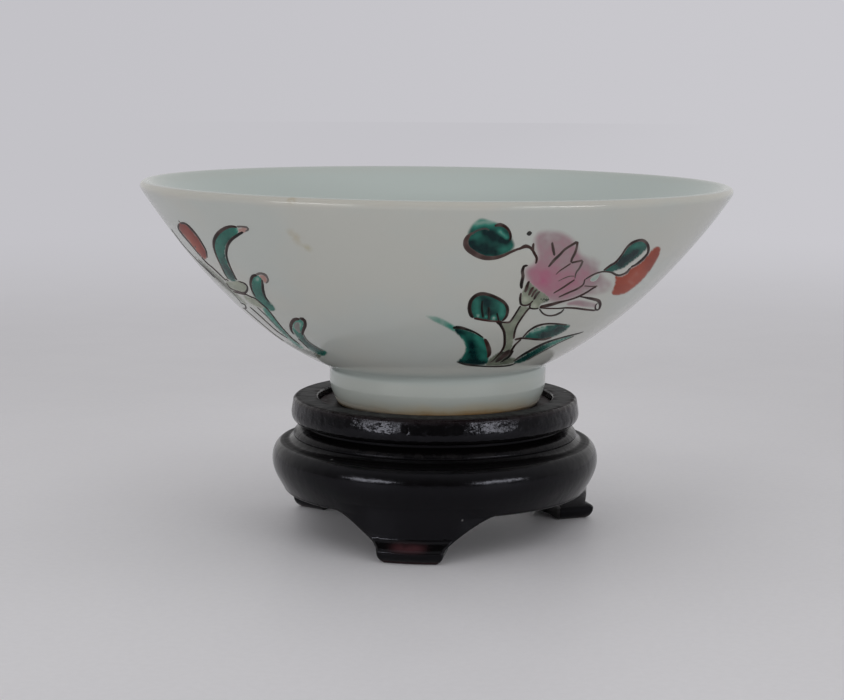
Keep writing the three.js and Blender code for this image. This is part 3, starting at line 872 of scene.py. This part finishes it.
# An area is its enamel, its outline, how dark it is, its touches and its soft edge.
# A touch is a place or a stretch of brushwork, its radius, and how much darker or (below 0) lighter it is.
FRONT_AREAS = {
    "leaf_a": (GREEN, [(469, 228), (474, 221.5), (481, 217.5), (489, 219), (496, 221.5), (503, 224),
        (510, 229), (512.5, 237), (515.5, 245), (512, 251.5), (504, 256), (494, 258.8), (483, 257.5),
        (473, 252.5), (466, 245), (466.5, 235)], 0.7, [(474, 223, 492, 221.5, 4.5, -0.95),
        (484, 232, 506, 241, 5, 0.4), (474, 246, 494, 251, 7, 0.35), (500, 231.5, 506.5, 237.5, 2.2, -0.9),
        (472, 237, 480, 235, 3, -0.25), (499, 250, 512, 246.5, 3.6, -0.35)], 3.2),
    "flower": (ROSE, [(533, 246), (532.5, 239), (536, 232), (543, 229), (552, 228.5), (561, 230),
        (569, 233.5), (575, 238.5), (579.5, 245), (582, 252), (588, 255), (596, 256.5), (602, 262),
        (601, 269), (606, 276), (613, 282), (613, 289), (606, 294), (597, 296), (587, 297.5), (579, 299),
        (570, 302.5), (560, 305), (551, 304.5), (544, 300), (537, 294), (529, 287), (524, 279),
        (522.5, 271), (526, 265), (532, 262), (535, 255)], 0.14, [(544, 279, 14, 0.62),
        (565, 285, 12, 0.28), (576, 280, 586, 273, 7, 0.25), (552, 234, 11, -0.3), (594, 262, 9, -0.55),
        (606, 286, 8, -0.5), (586, 291, 597, 290, 4, -0.4)], 8),
    "petal_curl": (ROSE, [(567, 302), (578, 299), (590, 301), (597, 303.5), (596, 308), (586, 308),
        (575, 306.5), (567, 306)], 0.1, [(590, 305, 6, -0.3)], 3),
    "calyx_base": (PALE, [(520.6, 296), (522.5, 290), (525, 284), (529, 280.5), (534.5, 285), (540, 289.5),
        (546, 293.5), (550, 297.5), (548, 301.5), (541, 304.8), (539, 308.5), (532, 309), (529.4, 306),
        (525, 305.6), (521, 303.5)], 0.35, [(525, 299.3, 3.2, -0.6), (534, 305.5, 3.2, -0.5),
        (529, 288, 537, 294, 3, 0.4)], 1),
    "calyx_shade": (PALE, [(535.5, 298.5), (541, 294.5), (547, 295.8), (551, 299.2), (547.5, 302.3),
        (541, 303.6), (536.5, 302)], 0.75, [(547, 299.5, 3, 0.4)], 2),
    "stem": (PALE, [(520, 305.5), (530.4, 307.5), (525, 314), (520, 321.7), (516.5, 328), (514.6, 334),
        (514, 339.6), (512.8, 346), (510.6, 352), (502, 352), (504.4, 345.6), (505, 340), (504, 333.3),
        (502, 327.8), (499, 322.8), (504.4, 322), (509, 321.6), (512.2, 317.8), (515.8, 312.5)], 0.4, [],
        0.8),
    "stem_grass": (PALE, [(484, 363.5), (490, 357.5), (497, 352.5), (503, 350), (513.5, 350), (510, 356),
        (515, 357.5), (517, 361.5), (509, 364.8), (498, 366.4), (486, 366.2)], 0.6, [(503, 354, 6, 0.5)],
        1.5),
    "leaf_b": (GREEN, [(469.5, 302), (472.5, 296.5), (479, 293.3), (486.7, 293), (495.6, 296),
        (502.8, 299.8), (508, 305), (508.8, 311), (507.2, 317), (503, 321.8), (492.2, 321.6),
        (482.2, 320.2), (474, 318.6), (470.2, 313.3), (469, 307.8)], 0.66, [(485, 299, 490, 315, 5, 0.35),
        (476.5, 301, 477, 311, 3, -0.3), (502, 306, 501.5, 314, 3.2, -0.45), (478, 315.5, 1.8, -1.2),
        (486.2, 316.5, 1.4, -1.2), (493.6, 317.8, 2.2, -1.4)], 1),
    "leaf_c_tip": (GREEN, [(424, 315), (434, 315.4), (443, 318.3), (451, 322.8), (458, 328), (455, 332.5),
        (447, 328.5), (438, 324), (431, 320.4)], -0.25, [(428, 317.5, 6, -0.3), (450, 327, 5, 0.25)], 2.2),
    "leaf_c": (GREEN, [(450.5, 327.5), (457.8, 326.6), (466.7, 328.9), (475.6, 332.3), (484, 337.2),
        (488, 343), (490.3, 350), (489.5, 357), (487.5, 364.5), (476, 366), (464.4, 365), (456, 362.5),
        (458, 359.5), (462, 355.5), (464.3, 351), (464.4, 345.5), (461.7, 340), (457.8, 335.6), (453, 331)],
        0.55, [(471, 343, 474, 358, 5.5, 0.5), (459, 362.5, 484, 363, 3, 0.5), (454, 329, 463, 333, 3, 0.4),
        (477, 337, 484, 347, 3, -0.3), (482.5, 355, 3, -0.25), (463.5, 340, 466, 350, 2.2, -0.35)], 1.8),
    "leaf_d": (GREEN, [(523, 337.8), (528.5, 332), (536, 327.6), (545.6, 325), (553.3, 323.8), (561, 323.2),
        (569, 324), (570.6, 326), (566.5, 330.5), (559, 335), (550, 338.6), (541, 340.4), (531, 340),
        (524.4, 339.6)], 0.6, [(541, 336, 563, 328.5, 4.5, 0.35), (532, 331.6, 545, 327.4, 1.8, -1.0),
        (568, 325.8, 3, -0.3)], 1.4),
    "blade": (GREEN, [(512.5, 362.5), (520, 356.8), (526.7, 352.6), (536.7, 347.1), (545.6, 342.9),
        (553.3, 340), (564.4, 336.7), (573.3, 334.5), (582, 332.3), (574, 335.8), (566, 339.8),
        (557, 344.2), (548, 348.8), (539, 353.8), (531, 358.8), (524.4, 362.2), (518, 364)], 0.66,
        [(552, 343, 574, 336, 4, -0.5), (518, 361, 534, 354, 3, 0.2)], 0.8),
    "leaf_f": (GREEN, [(602.5, 271), (610, 265), (615.5, 261.6), (621, 254.8), (626.8, 246.8),
        (633.6, 241.3), (641.7, 239.8), (647, 243.5), (647.6, 248.6), (643.8, 252.6), (637.8, 258),
        (629.8, 264), (624, 268.4), (615, 271.6), (608.3, 273)], 0.74, [(619, 263, 636, 252, 3.5, 0.35),
        (632, 247, 642, 243.5, 3, -0.35), (606, 270, 614, 267, 3, -0.15)], 1.4),
    "leaf_f_tint": (GREEN, [(589, 281), (591.5, 276.5), (596, 273.8), (600.5, 273.5), (599, 278),
        (595, 281.8)], -0.45, [], 3),
    "red_patch": (RED, [(653.5, 247.5), (657, 246), (660.5, 247), (661, 250), (658.7, 257.3),
        (654.3, 265.2), (648.6, 273.2), (642, 281), (634.2, 287.8), (626.3, 293.3), (618.3, 295.6),
        (612.5, 295), (611, 291.7), (613.3, 287), (614.6, 281.7), (615, 275.4), (620.5, 275.6),
        (626.5, 273), (630, 268), (637.5, 264.2), (644.5, 258), (648.8, 252.5)], 0.2,
        [(657, 254, 649, 269, 5, 0.3), (640, 270, 630, 281, 5, -0.2)], 1.2),
}

LEFT_LINES = {
    "bud_tip": ([(178.5, 220.3), (180, 222.6)], (1.2, 2.4), 0.5, 1),
    "bud_right": ([(180, 223.3), (185, 223.6), (190.6, 228.3), (197, 235.8), (202, 243.3), (206, 250.8),
        (207, 257.8)], (2.8, 3.4, 3, 2.4, 2.4, 2.6, 2.4), 0.35, 1),
    "bud_left": ([(179.4, 223.5), (178.4, 228.3), (182.5, 234.5), (188.8, 242), (195, 249.5), (201.3, 257)],
        (3, 3, 2.4, 2, 1.8), 0.4, 1),
    "stem_upper": ([(168, 229), (177.5, 239), (188.5, 251), (199, 262.3), (207, 270), (215, 278)],
        (2, 2.2, 2.6, 2.2), 0.7, 1),
    "stem_second": ([(198, 259), (206, 267.5), (216, 277), (226, 286.5), (234, 294), (242, 304)],
        (1.4, 1.5, 1.4, 1.4), 0.7, 0.9),
    "stem_bud_1": ([(201.3, 257), (207, 263), (214, 269), (226, 280.5)], (2.6, 2.2, 1.8), 0.6, 1),
    "stem_bud_2": ([(199, 260), (205.5, 267.5), (213, 275), (222, 283)], (1.3, 1.5, 1.2), 0.7, 0.9),
    "curl_1_outer": ([(237, 227), (230.5, 226.6), (225, 228.4), (219.4, 232.4), (215, 238.5),
        (213.8, 245.8), (216, 254.5), (220.4, 264.5), (225.4, 274.5), (228.5, 279.5)],
        (2.6, 3.6, 4.4, 4.6, 4, 3.2, 2.6, 2.2, 2, 1.6), 0.5, 1),
    "curl_1_inner": ([(243.5, 231.5), (236.3, 235.8), (231.3, 239.7), (227.6, 245.3), (226.3, 253.3),
        (227.8, 260.8), (231.3, 269.5), (235, 277), (236.8, 280.2)],
        (2.8, 3.6, 3.6, 3.4, 3, 2.8, 2.6, 2.6, 2), 0.7, 1),
    "curl_1_tip": ([(236.5, 226.8), (241.5, 226.6), (246.8, 227.4), (248, 229.6), (245, 231.6)],
        (2.6, 2.2, 2.4, 2.4, 2), 0.15, 0.8),
    "curl_2_tip": ([(255.5, 275), (260.5, 273.4), (265.6, 275.4), (268, 280), (266, 283.5)],
        (2.8, 3, 3, 2.6, 2), 0.1, 0.8),
    "knot_dot": ([(226.3, 278.8), (227.2, 280), (228, 281.2)], (3, 4, 3), 0.7, 1),
    "knot_rim": ([(226.4, 282.6), (230.4, 288), (237.5, 291.2), (244.5, 292.8), (247.3, 289.5),
        (246.8, 285.8), (243.6, 283), (238, 281.2)], (2, 2.4, 2.6, 3, 2.4, 2, 1.8), 0.5, 1),
    "knot_brown": ([(233, 291.6), (240, 293.2), (246.5, 294.5)], (2.4, 3.4, 3.4), 0.4, 1),
    "stem_main": ([(245, 294), (251, 296.8), (256, 299), (262, 304), (267, 308.5), (272, 314.5),
        (278, 322.5), (285, 330.8), (292, 338), (300, 344.5)], (2.6, 2.2, 2.2, 2.2, 2.2, 2.2, 2.2, 2), 0.7,
        1),
    "curl_2_left": ([(257, 274.8), (252.6, 276.6), (250.6, 282), (251.6, 289), (255.6, 297)],
        (3.6, 3.8, 3.2, 2.6, 2.2), 0.5, 1),
    "curl_2_right": ([(262, 279), (262.6, 285), (263, 290), (265, 296.5), (269, 302)], (2, 3.4, 4, 3, 1.8),
        0.8, 1),
    "curl_3_left": ([(299.5, 318.6), (294, 320), (291, 325), (291.4, 330.5), (294, 334.5)],
        (4.4, 4.4, 4, 3.4, 2.2), 0.4, 1),
    "curl_3_right": ([(299.5, 318.6), (304, 320.2), (305, 325), (303, 330.5), (302, 335.5)],
        (4.2, 4.2, 4, 3.6, 2.4), 0.5, 1),
    "curl_3_shade": ([(298, 322), (297, 327), (299.5, 333)], (7, 8, 6), 0.6, 0.62),
    "curl_3_stem": ([(302.5, 333), (307, 340), (313, 345), (319, 348.6), (324, 351)], (2, 2.2, 2.2, 2),
        0.95, 0.8),
    "low_stem_1": ([(240.5, 303), (244.5, 304.6), (246, 308), (243, 308.5)], (2.2, 2.4, 1.8), 0.7, 1),
    "low_stem_2": ([(243, 307.5), (250, 313.5), (258, 320.5), (268, 329), (277, 336.3), (283.5, 341)],
        (1.6, 1.8, 2, 2.2, 3.2, 3.6), 0.8, 1),
    "low_stem_3": ([(250, 307), (258, 314), (267, 322.3), (277.5, 331.5), (288, 338.5)], (1.8, 2, 2, 1.6),
        0.75, 1),
    "low_stem_4": ([(257, 307), (266, 315.5), (276, 325.5), (287, 335), (297, 342.5)], (1.4, 1.6, 1.4),
        0.75, 0.9),
    "low_stem_5": ([(298, 338.5), (303, 343), (309, 348.8)], (2, 2.2, 1.8), 0.75, 1),
    "bud_spot": ([(194, 245.3), (195.2, 246.6), (196.6, 248)], (2.6, 3.2, 2.4), 0.3, 0.85),
}

LEFT_AREAS = {
    "bud": (RED, [(178, 224), (181.3, 222), (186.3, 223.4), (191.3, 228.4), (197, 235.4), (202, 242.6),
        (206.4, 250), (207.8, 258), (203.8, 259.5), (199.4, 255), (194.4, 249.5), (188.8, 242),
        (182.6, 234.8), (178.6, 229)], 0.5, [(183, 226, 5, 0.4), (190, 230, 205, 254, 2.5, 0.3),
        (188, 238, 198, 250, 3, -0.3)], 0.8),
    "band": (PALE, [(193, 255), (203, 261), (212, 269), (222, 278), (233, 289), (246, 302), (250, 309),
        (243.5, 304), (231, 294), (219, 283.5), (208, 272.5)], 0.4, [(222, 282, 10, 0.3)], 1.5),
    "curl_1": (GREEN, [(212.8, 242), (216, 233.6), (222.8, 227.6), (231.5, 225.8), (238, 227.4),
        (238.5, 233.5), (232.4, 239), (227.6, 245), (225.8, 253), (228, 261), (232, 270.5), (237, 280.8),
        (231, 281.5), (224.6, 274.8), (219.6, 264.8), (215, 254.8), (212.8, 247)], 0.44,
        [(222, 262, 232, 277, 3.5, 0.4), (229, 240, 226, 256, 2.4, 0.4), (238, 229.5, 2.4, -0.8)], 0.8),
    "curl_1_end": (RED, [(237.5, 229), (241, 227), (246, 226.6), (248.5, 228.5), (246.5, 232), (242, 234),
        (238.5, 233.5)], -0.4, [], 1.5),
    "curl_2_end": (RED, [(257, 276), (262, 274), (266.5, 276), (268.4, 281), (265.5, 284), (262.5, 281.5),
        (260, 279)], -0.35, [], 1.5),
    "knot": (PALE, [(226, 280), (230, 280.8), (236.3, 280), (243.8, 282.2), (248, 287), (247.3, 292.6),
        (242.5, 294), (235, 292), (229, 288.4), (225.6, 284)], 0.15, [], 1),
    "leaf_low": (PALE, [(243, 295.5), (252, 297), (260, 301.5), (267, 307.5), (262, 309), (253, 305.5),
        (246, 300.5)], 0.2, [], 1.2),
    "curl_2": (GREEN, [(250.6, 282), (253, 276.6), (258.5, 275), (262.5, 278), (263.4, 290), (267, 298),
        (272.5, 303.5), (275.8, 310), (270, 311.5), (263, 306.5), (256, 300.5), (251.4, 293)], 0.45,
        [(264, 295, 273, 308, 3, 0.2), (257.5, 279, 2.8, -0.9), (272, 308, 4, -0.3)], 1.4),
    "curl_3": (GREEN, [(291.5, 326), (294, 320.5), (300, 318.5), (304.8, 321.5), (304, 328), (303.4, 334),
        (308, 340.5), (315.3, 345.8), (323, 349), (328, 352), (325.5, 356), (319, 355.6), (311.5, 351.6),
        (304, 345.4), (297.6, 338.5), (293, 332.5)], 0.45, [(322, 352.5, 4, 0.1),
        (304, 339, 317, 349, 3, 0.45), (297.5, 325, 5.5, -1.0)], 1.4),
    "low_band": (GREEN, [(261, 305.5), (267, 307.5), (274, 315.5), (281, 325), (289, 334), (298, 342),
        (306, 349.5), (299, 348.5), (290, 341.5), (281, 333), (273, 324.5), (265.5, 315)], -0.15,
        [(268, 311, 288, 334, 2.4, 0.45), (298, 346, 5, 0.4)], 1.2),
    "olive": (PALE, [(283, 340), (295, 344.5), (309, 350), (322, 355), (318, 358.6), (308, 356), (294, 351),
        (283, 345)], 0.75, [], 1.4),
}
# Two sprays show. The two behind are the same brush work, half a turn further round.
SPRAY_TURNS = (0, math.pi)


def touch(tree, pixel):
    """Where the sight line through a pixel meets the outside of the cup.

    A pixel on or just past the bowl's outline moves a little inwards, and one that still misses
    takes the nearest place."""
    start = CAMERA_PLACE / MM
    x, y = pixel
    inwards = math.copysign(1, PICTURE_WIDTH / 2 - x)
    for shift in np.arange(0, SHIFT_REACH, SHIFT_STEP):
        direction = sight((x + shift * inwards, y))
        hit, normal = tree.ray_cast(start, direction)[:2]
        if hit is not None and -normal.dot(direction) > GRAZING:
            return hit
    direction = sight(pixel)
    middle = Vector((0, 0, SEAT_HEIGHT + CUP_HEIGHT / 2))
    return tree.find_nearest(start + direction * (middle - start).dot(direction))[0]


def shown_at(point):
    """The pixel of the photograph where a point, in millimetres, shows."""
    right, up, forward = camera_axes()
    away = Vector(point) - CAMERA_PLACE / MM
    scale = FOCAL_PIXELS / away.dot(forward)
    x, y = PICTURE_WIDTH / 2 + away.dot(right) * scale, PICTURE_HEIGHT / 2 - away.dot(up) * scale
    return Vector((x, y))


class Paint:
    """The bodies of one enamel: places on the cup, heights above the glaze, tone, cover and faces."""

    def __init__(self):
        self.places, self.heights, self.tones, self.covers, self.faces = [], [], [], [], []

    def add(self, places, heights, tones, covers, faces):
        start = len(self.places)
        self.places += [tuple(p) for p in places]
        self.heights += list(heights)
        self.tones += list(tones)
        self.covers += list(covers)
        self.faces += [[start + n for n in face] for face in faces]

    def build(self, name, slot, material, tree):
        """One mesh with a copy for each spray turn, every point set square to the glaze below it."""
        points, faces = [], []
        for turn in SPRAY_TURNS:
            start = len(points)
            spin = Matrix.Rotation(turn, 3, "Z")
            for place, height in zip(self.places, self.heights):
                ground, normal = tree.find_nearest(spin @ Vector(place))[:2]
                points.append(ground + normal * height)
            faces += [[start + n for n in face] for face in self.faces]
        copies = len(SPRAY_TURNS)
        values = {"tone": self.tones * copies, "cover": self.covers * copies}
        piece = add_mesh(name, points, faces, material, values, sharp=75)
        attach(piece, "cup")


def paint_line(paint, tree, points, widths, tone, cover):
    """A raised brush line with round ends. Its widths are spread evenly along it."""
    track = spline(points, PEN_STEP)
    lengths = np.concatenate([[0], np.cumsum(np.linalg.norm(np.diff(track, axis=0), axis=1))])
    width = LINE_SPREAD * np.interp(lengths / lengths[-1], np.linspace(0, 1, len(widths)), widths)
    to_end = np.minimum(lengths, lengths[-1] - lengths) / (width / 2)
    width = width * np.sqrt(1 - (1 - np.clip(to_end, 0.03, 1)) ** 2)
    spots = [touch(tree, pixel) for pixel in track]
    places, heights, tones, covers = [], [], [], []
    for n, spot in enumerate(spots):
        ahead = spots[min(n + 1, len(spots) - 1)] - spots[max(n - 1, 0)]
        normal = tree.find_nearest(spot)[1]
        side = normal.cross(ahead).normalized()
        seen = (shown_at(spot + side) - shown_at(spot)).length
        half = width[n] / 2 / max(seen, LEAST_SEEN)
        rise = LINE_RELIEF * min(1, width[n] / 2)
        load = noise.noise(Vector((*track[n], 0)) / INK_WAVE)
        for across in LINE_ACROSS:
            places.append(spot + side * half * across)
            heights.append(rise * math.sqrt(1 - across**4) - EDGE_SINK * abs(across))
            covers.append(cover * (1 - 0.15 * across**4) * (1 + 0.15 * min(load, 0)))
        places.append(spot)
        heights.append(-BODY_DEPTH)
        covers.append(cover)
        tones += [min(1, max(0, tone + 0.5 * load))] * (len(LINE_ACROSS) + 1)
    size = len(LINE_ACROSS) + 1
    faces = [list(range(size)), list(range(len(places) - size, len(places)))[::-1]]
    for n in range(len(spots) - 1):
        for k in range(size):
            low, up = n * size + k, n * size + (k + 1) % size
            faces.append([low, low + size, up + size, up])
    paint.add(places, heights, tones, covers, faces)


def edge_distance(points, loop):
    """How far each point is from a closed line, and whether it lies inside it."""
    after = np.roll(loop, -1, axis=0)
    run = after - loop
    rel = points[:, None, :] - loop[None]
    share = np.clip((rel * run).sum(2) / (run * run).sum(1), 0, 1)
    away = np.linalg.norm(rel - share[..., None] * run, axis=2).min(1)
    above = (loop[None, :, 1] > points[:, None, 1]) != (after[None, :, 1] > points[:, None, 1])
    with np.errstate(divide="ignore", invalid="ignore"):
        cross = loop[:, 0] + (points[:, None, 1] - loop[:, 1]) * run[:, 0] / run[:, 1]
    inside = (above & (points[:, None, 0] < cross)).sum(1) % 2 == 1
    return away, inside


def paint_area(paint, tree, outline, tone, spots, soft, relief):
    """A filled area of enamel, thick in the middle and thin at its edge."""
    loop = spline(outline, GRID_STEP, closed=True)
    low, high = loop.min(0), loop.max(0)
    grid = []
    for row, y in enumerate(np.arange(low[1], high[1], GRID_STEP * 0.87)):
        start = low[0] + (row % 2) * GRID_STEP / 2
        grid += [(x, y) for x in np.arange(start, high[0], GRID_STEP)]
    grid = np.array(grid)
    away, inside = edge_distance(grid, loop)
    grid = grid[inside & (away > GRID_STEP * 0.6)]
    sheet = [Vector((x, -y)) for x, y in [*loop, *grid]]
    found, _, triangles, *_ = delaunay_2d_cdt(sheet, [], [list(range(len(loop)))], 1, 1e-4)
    pixels = np.array([(p.x, -p.y) for p in found])
    away = edge_distance(pixels, loop)[0]
    value = np.full(len(pixels), float(tone))
    for *place, radius, amount in spots:
        first, last = np.array(place[:2]), np.array(place[-2:])
        run = last - first
        share = np.clip((pixels - first) @ run / max(run @ run, 1e-6), 0, 1)
        value += amount * np.exp(-((pixels - first - share[:, None] * run) ** 2).sum(1) / radius**2)
    value += [MOTTLE * noise.noise(Vector((x, y, 3.7)) / MOTTLE_SIZE) for x, y in pixels]
    cover = smooth(away / soft + 0.15) * np.clip(1 + np.minimum(value, 0) * 1.2, 0, 1)
    dome = np.sqrt(1 - (1 - np.clip(away / 3, 0, 1)) ** 2)
    heights = AREA_EDGE + (relief - AREA_EDGE) * dome
    places = [touch(tree, pixel) for pixel in pixels]
    count = len(pixels)
    edges = {(a, b) for t in triangles for a, b in zip(t, [*t[1:], t[0]])}
    faces = [list(t) for t in triangles]
    faces += [[n + count for n in reversed(t)] for t in triangles]
    faces += [[b, a, a + count, b + count] for a, b in edges if (b, a) not in edges]
    tones = np.clip(value, 0, 1)
    paint.add([*places, *places], [*heights, *[-BODY_DEPTH] * count], [*tones, *tones], [*cover, *cover],
              faces)


def make_sprays(tree):
    """All the enamels, each one piece."""
    kinds = {
        OUTLINE: ("painted_outlines", srgb(62, 30, 27), srgb(8, 13, 10), 0.35, 700, 0.12),
        GREEN: ("painted_leaves", srgb(50, 126, 110), srgb(2, 32, 34), 0.2, 420, 0.16),
        PALE: ("painted_stems", srgb(151, 157, 139), srgb(54, 64, 52), 0.2, 420, 0.25),
        ROSE: ("painted_petals", srgb(151, 132, 135), srgb(168, 89, 118), 0.22, 350, 0.25),
        RED: ("painted_bud_and_patch", srgb(152, 64, 40), srgb(108, 28, 16), 0.3, 350, 0.14),
    }
    paints = {slot: Paint() for slot in kinds}
    for areas, lines in ((FRONT_AREAS, FRONT_LINES), (LEFT_AREAS, LEFT_LINES)):
        for slot, outline, tone, spots, soft in areas.values():
            paint_area(paints[slot], tree, outline, tone, spots, soft, AREA_RELIEFS[slot])
        for points, widths, tone, cover in lines.values():
            paint_line(paints[OUTLINE], tree, points, widths, tone, cover)
    for slot, (name, *look) in kinds.items():
        paints[slot].build(name, slot, enamel(slot, *look), tree)


# Studio

# The backdrop's glowing colour, darker on the left and lighter on the right as if lit from the right:
# painted light
BACKDROP_SHADED_LEFT = srgb(195, 194, 199)
BACKDROP_LIT_RIGHT = srgb(201, 200, 205)
TABLE = srgb(229, 228, 232)
TABLE_RINGS = (0, 0.05, 0.1, 0.2, 0.4, 0.8, 1.5, 3.0)  # metres out from the object
FADE_FROM = 0.12  # from here the tabletop turns into the backdrop
FADE_TO = 0.75
SKY = srgb(253, 252, 252)
SKY_BACK = 0.66  # what the room sends to the object from behind and above
SKY_FRONT = 0.07  # and from the dark side behind the camera
SKY_LEFT = 0.93  # share of that light that comes from the far left
LAMP_AIM = 0.03  # the height that they face
LAMP_DISTANCE = 0.95
LAMP_WIDTH = 0.6
LAMP_HEIGHT = 0.13
# Side softboxes: degrees round from the camera's direction, degrees up, watts
LAMPS = {"softbox_left": (-45, 9.5, 2.25), "softbox_right": (45, 9.5, 2.2)}


def make_table():
    """A wide pale tabletop. Far behind the object it fades into the glowing backdrop colour, painted lighter
    towards the right.
    """
    graph = Graph(bpy.data.materials.new("table"))
    place = graph.place()
    away = graph.add("ShaderNodeVectorMath", {0: place}, operation="LENGTH").outputs["Value"]
    cloudy = graph.ramp(graph.noise(place, 5, 2), 0.3, 0.7, 0.97, 1.03)
    speckled = graph.ramp(graph.noise(place, 700, 3), 0.3, 0.7, 0.99, 1.01)
    # Lighter near the object and darker farther out: painted light that lifts the shade under the cup and
    # stand, on top of the cloudy tone
    shade = graph.product(cloudy, speckled, graph.ramp(away, 0.05, 0.25, 1.07, 0.93))
    colour = graph.add("ShaderNodeVectorMath", {0: TABLE[:3], "Scale": shade}, operation="SCALE").outputs[0]
    rough = graph.ramp(graph.noise(place, 60, 3), 0.3, 0.7, 0.48, 0.56)
    normal = graph.bump(graph.noise(place, 260, 3), graph.ramp(away, 0.1, 0.4, 0.1, 0.0), 0.0002)
    surface = graph.add("ShaderNodeBsdfPrincipled",
                        {"Base Color": colour, "Roughness": rough, "IOR": 1.45, "Specular IOR Level": 0.3,
                         "Normal": normal})
    # The far glow runs from darker on the left to lighter on the right: painted light
    far = graph.mix(graph.ramp(graph.split(place)["X"], -0.3, 0.15), BACKDROP_SHADED_LEFT, BACKDROP_LIT_RIGHT)
    plain = graph.add("ShaderNodeEmission", {"Color": far, "Strength": 1.0})
    rays = graph.add("ShaderNodeLightPath").outputs
    seen = graph.math("MAXIMUM", rays["Is Camera Ray"], rays["Is Glossy Ray"])
    share = graph.product(seen, graph.ramp(away, FADE_FROM, FADE_TO))
    shader = graph.add("ShaderNodeMixShader", {0: share, 1: surface.outputs[0], 2: plain.outputs[0]})
    material = graph.finish(shader.outputs[0])
    points, faces, _ = turned([(radius / MM, 0.0) for radius in TABLE_RINGS], closed=False)
    table = add_mesh("table", points, [face[::-1] for face in faces], material)


def make_world():
    """An even pale room, darker behind the camera. The camera sees only the backdrop colour, painted lighter
    towards the right.
    """
    world = bpy.data.worlds.new("room")
    bpy.context.scene.world = world
    graph = Graph(world)
    x, y, z = graph.split(graph.add("ShaderNodeTexCoord").outputs["Generated"])
    back = graph.math("ADD", y, graph.product(z, 1.3))
    level = graph.product(graph.ramp(back, -0.9, 0.9, SKY_FRONT, SKY_BACK),
                          graph.ramp(x, -1.0, 0.2, SKY_LEFT, 1.0))
    room = graph.add("ShaderNodeBackground", {"Color": SKY, "Strength": level})
    # The backdrop runs from darker on the left to lighter on the right: painted light
    far = graph.mix(graph.ramp(x, -0.36, 0.07), BACKDROP_SHADED_LEFT, BACKDROP_LIT_RIGHT)
    picture = graph.add("ShaderNodeBackground", {"Color": far, "Strength": 1.0})
    seen = graph.add("ShaderNodeLightPath").outputs["Is Camera Ray"]
    shader = graph.add("ShaderNodeMixShader", {0: seen, 1: room.outputs[0], 2: picture.outputs[0]})
    graph.finish(shader.outputs[0], "ShaderNodeOutputWorld")


def make_lamps():
    """Two low softboxes in front, to the left and right, that the camera doesn't see."""
    middle = Vector((0, 0, LAMP_AIM))
    for name, (side, up, power) in LAMPS.items():
        angle = math.radians(side) + CAMERA_TURN
        rise = math.radians(up)
        way = Vector((math.sin(angle) * math.cos(rise), -math.cos(angle) * math.cos(rise), math.sin(rise)))
        data = bpy.data.lights.new(name, "AREA")
        data.shape = "ELLIPSE"
        data.size, data.size_y = LAMP_WIDTH, LAMP_HEIGHT
        data.energy = power
        lamp = bpy.data.objects.new(name, data)
        lamp.location = middle + way * LAMP_DISTANCE
        lamp.rotation_mode = "QUATERNION"
        lamp.rotation_quaternion = (-way).to_track_quat("-Z", "Y")
        lamp.visible_camera = False
        bpy.context.scene.collection.objects.link(lamp)


make_camera()
make_table()
make_world()
make_lamps()
make_rim(lacquer("lacquered_rim", 0.12, 0.6, 0.2))
make_board(lacquer("lacquered_board", 0.12, 0.3, 0.15))
make_waist(lacquer("lacquered_waist", 0.12, 0.2, 0.1))
make_apron(lacquer("lacquered_apron", 0.1, 0.15, 0.19))
make_sprays(make_cup(porcelain()))

bpy.context.scene.view_settings.view_transform = "Standard"
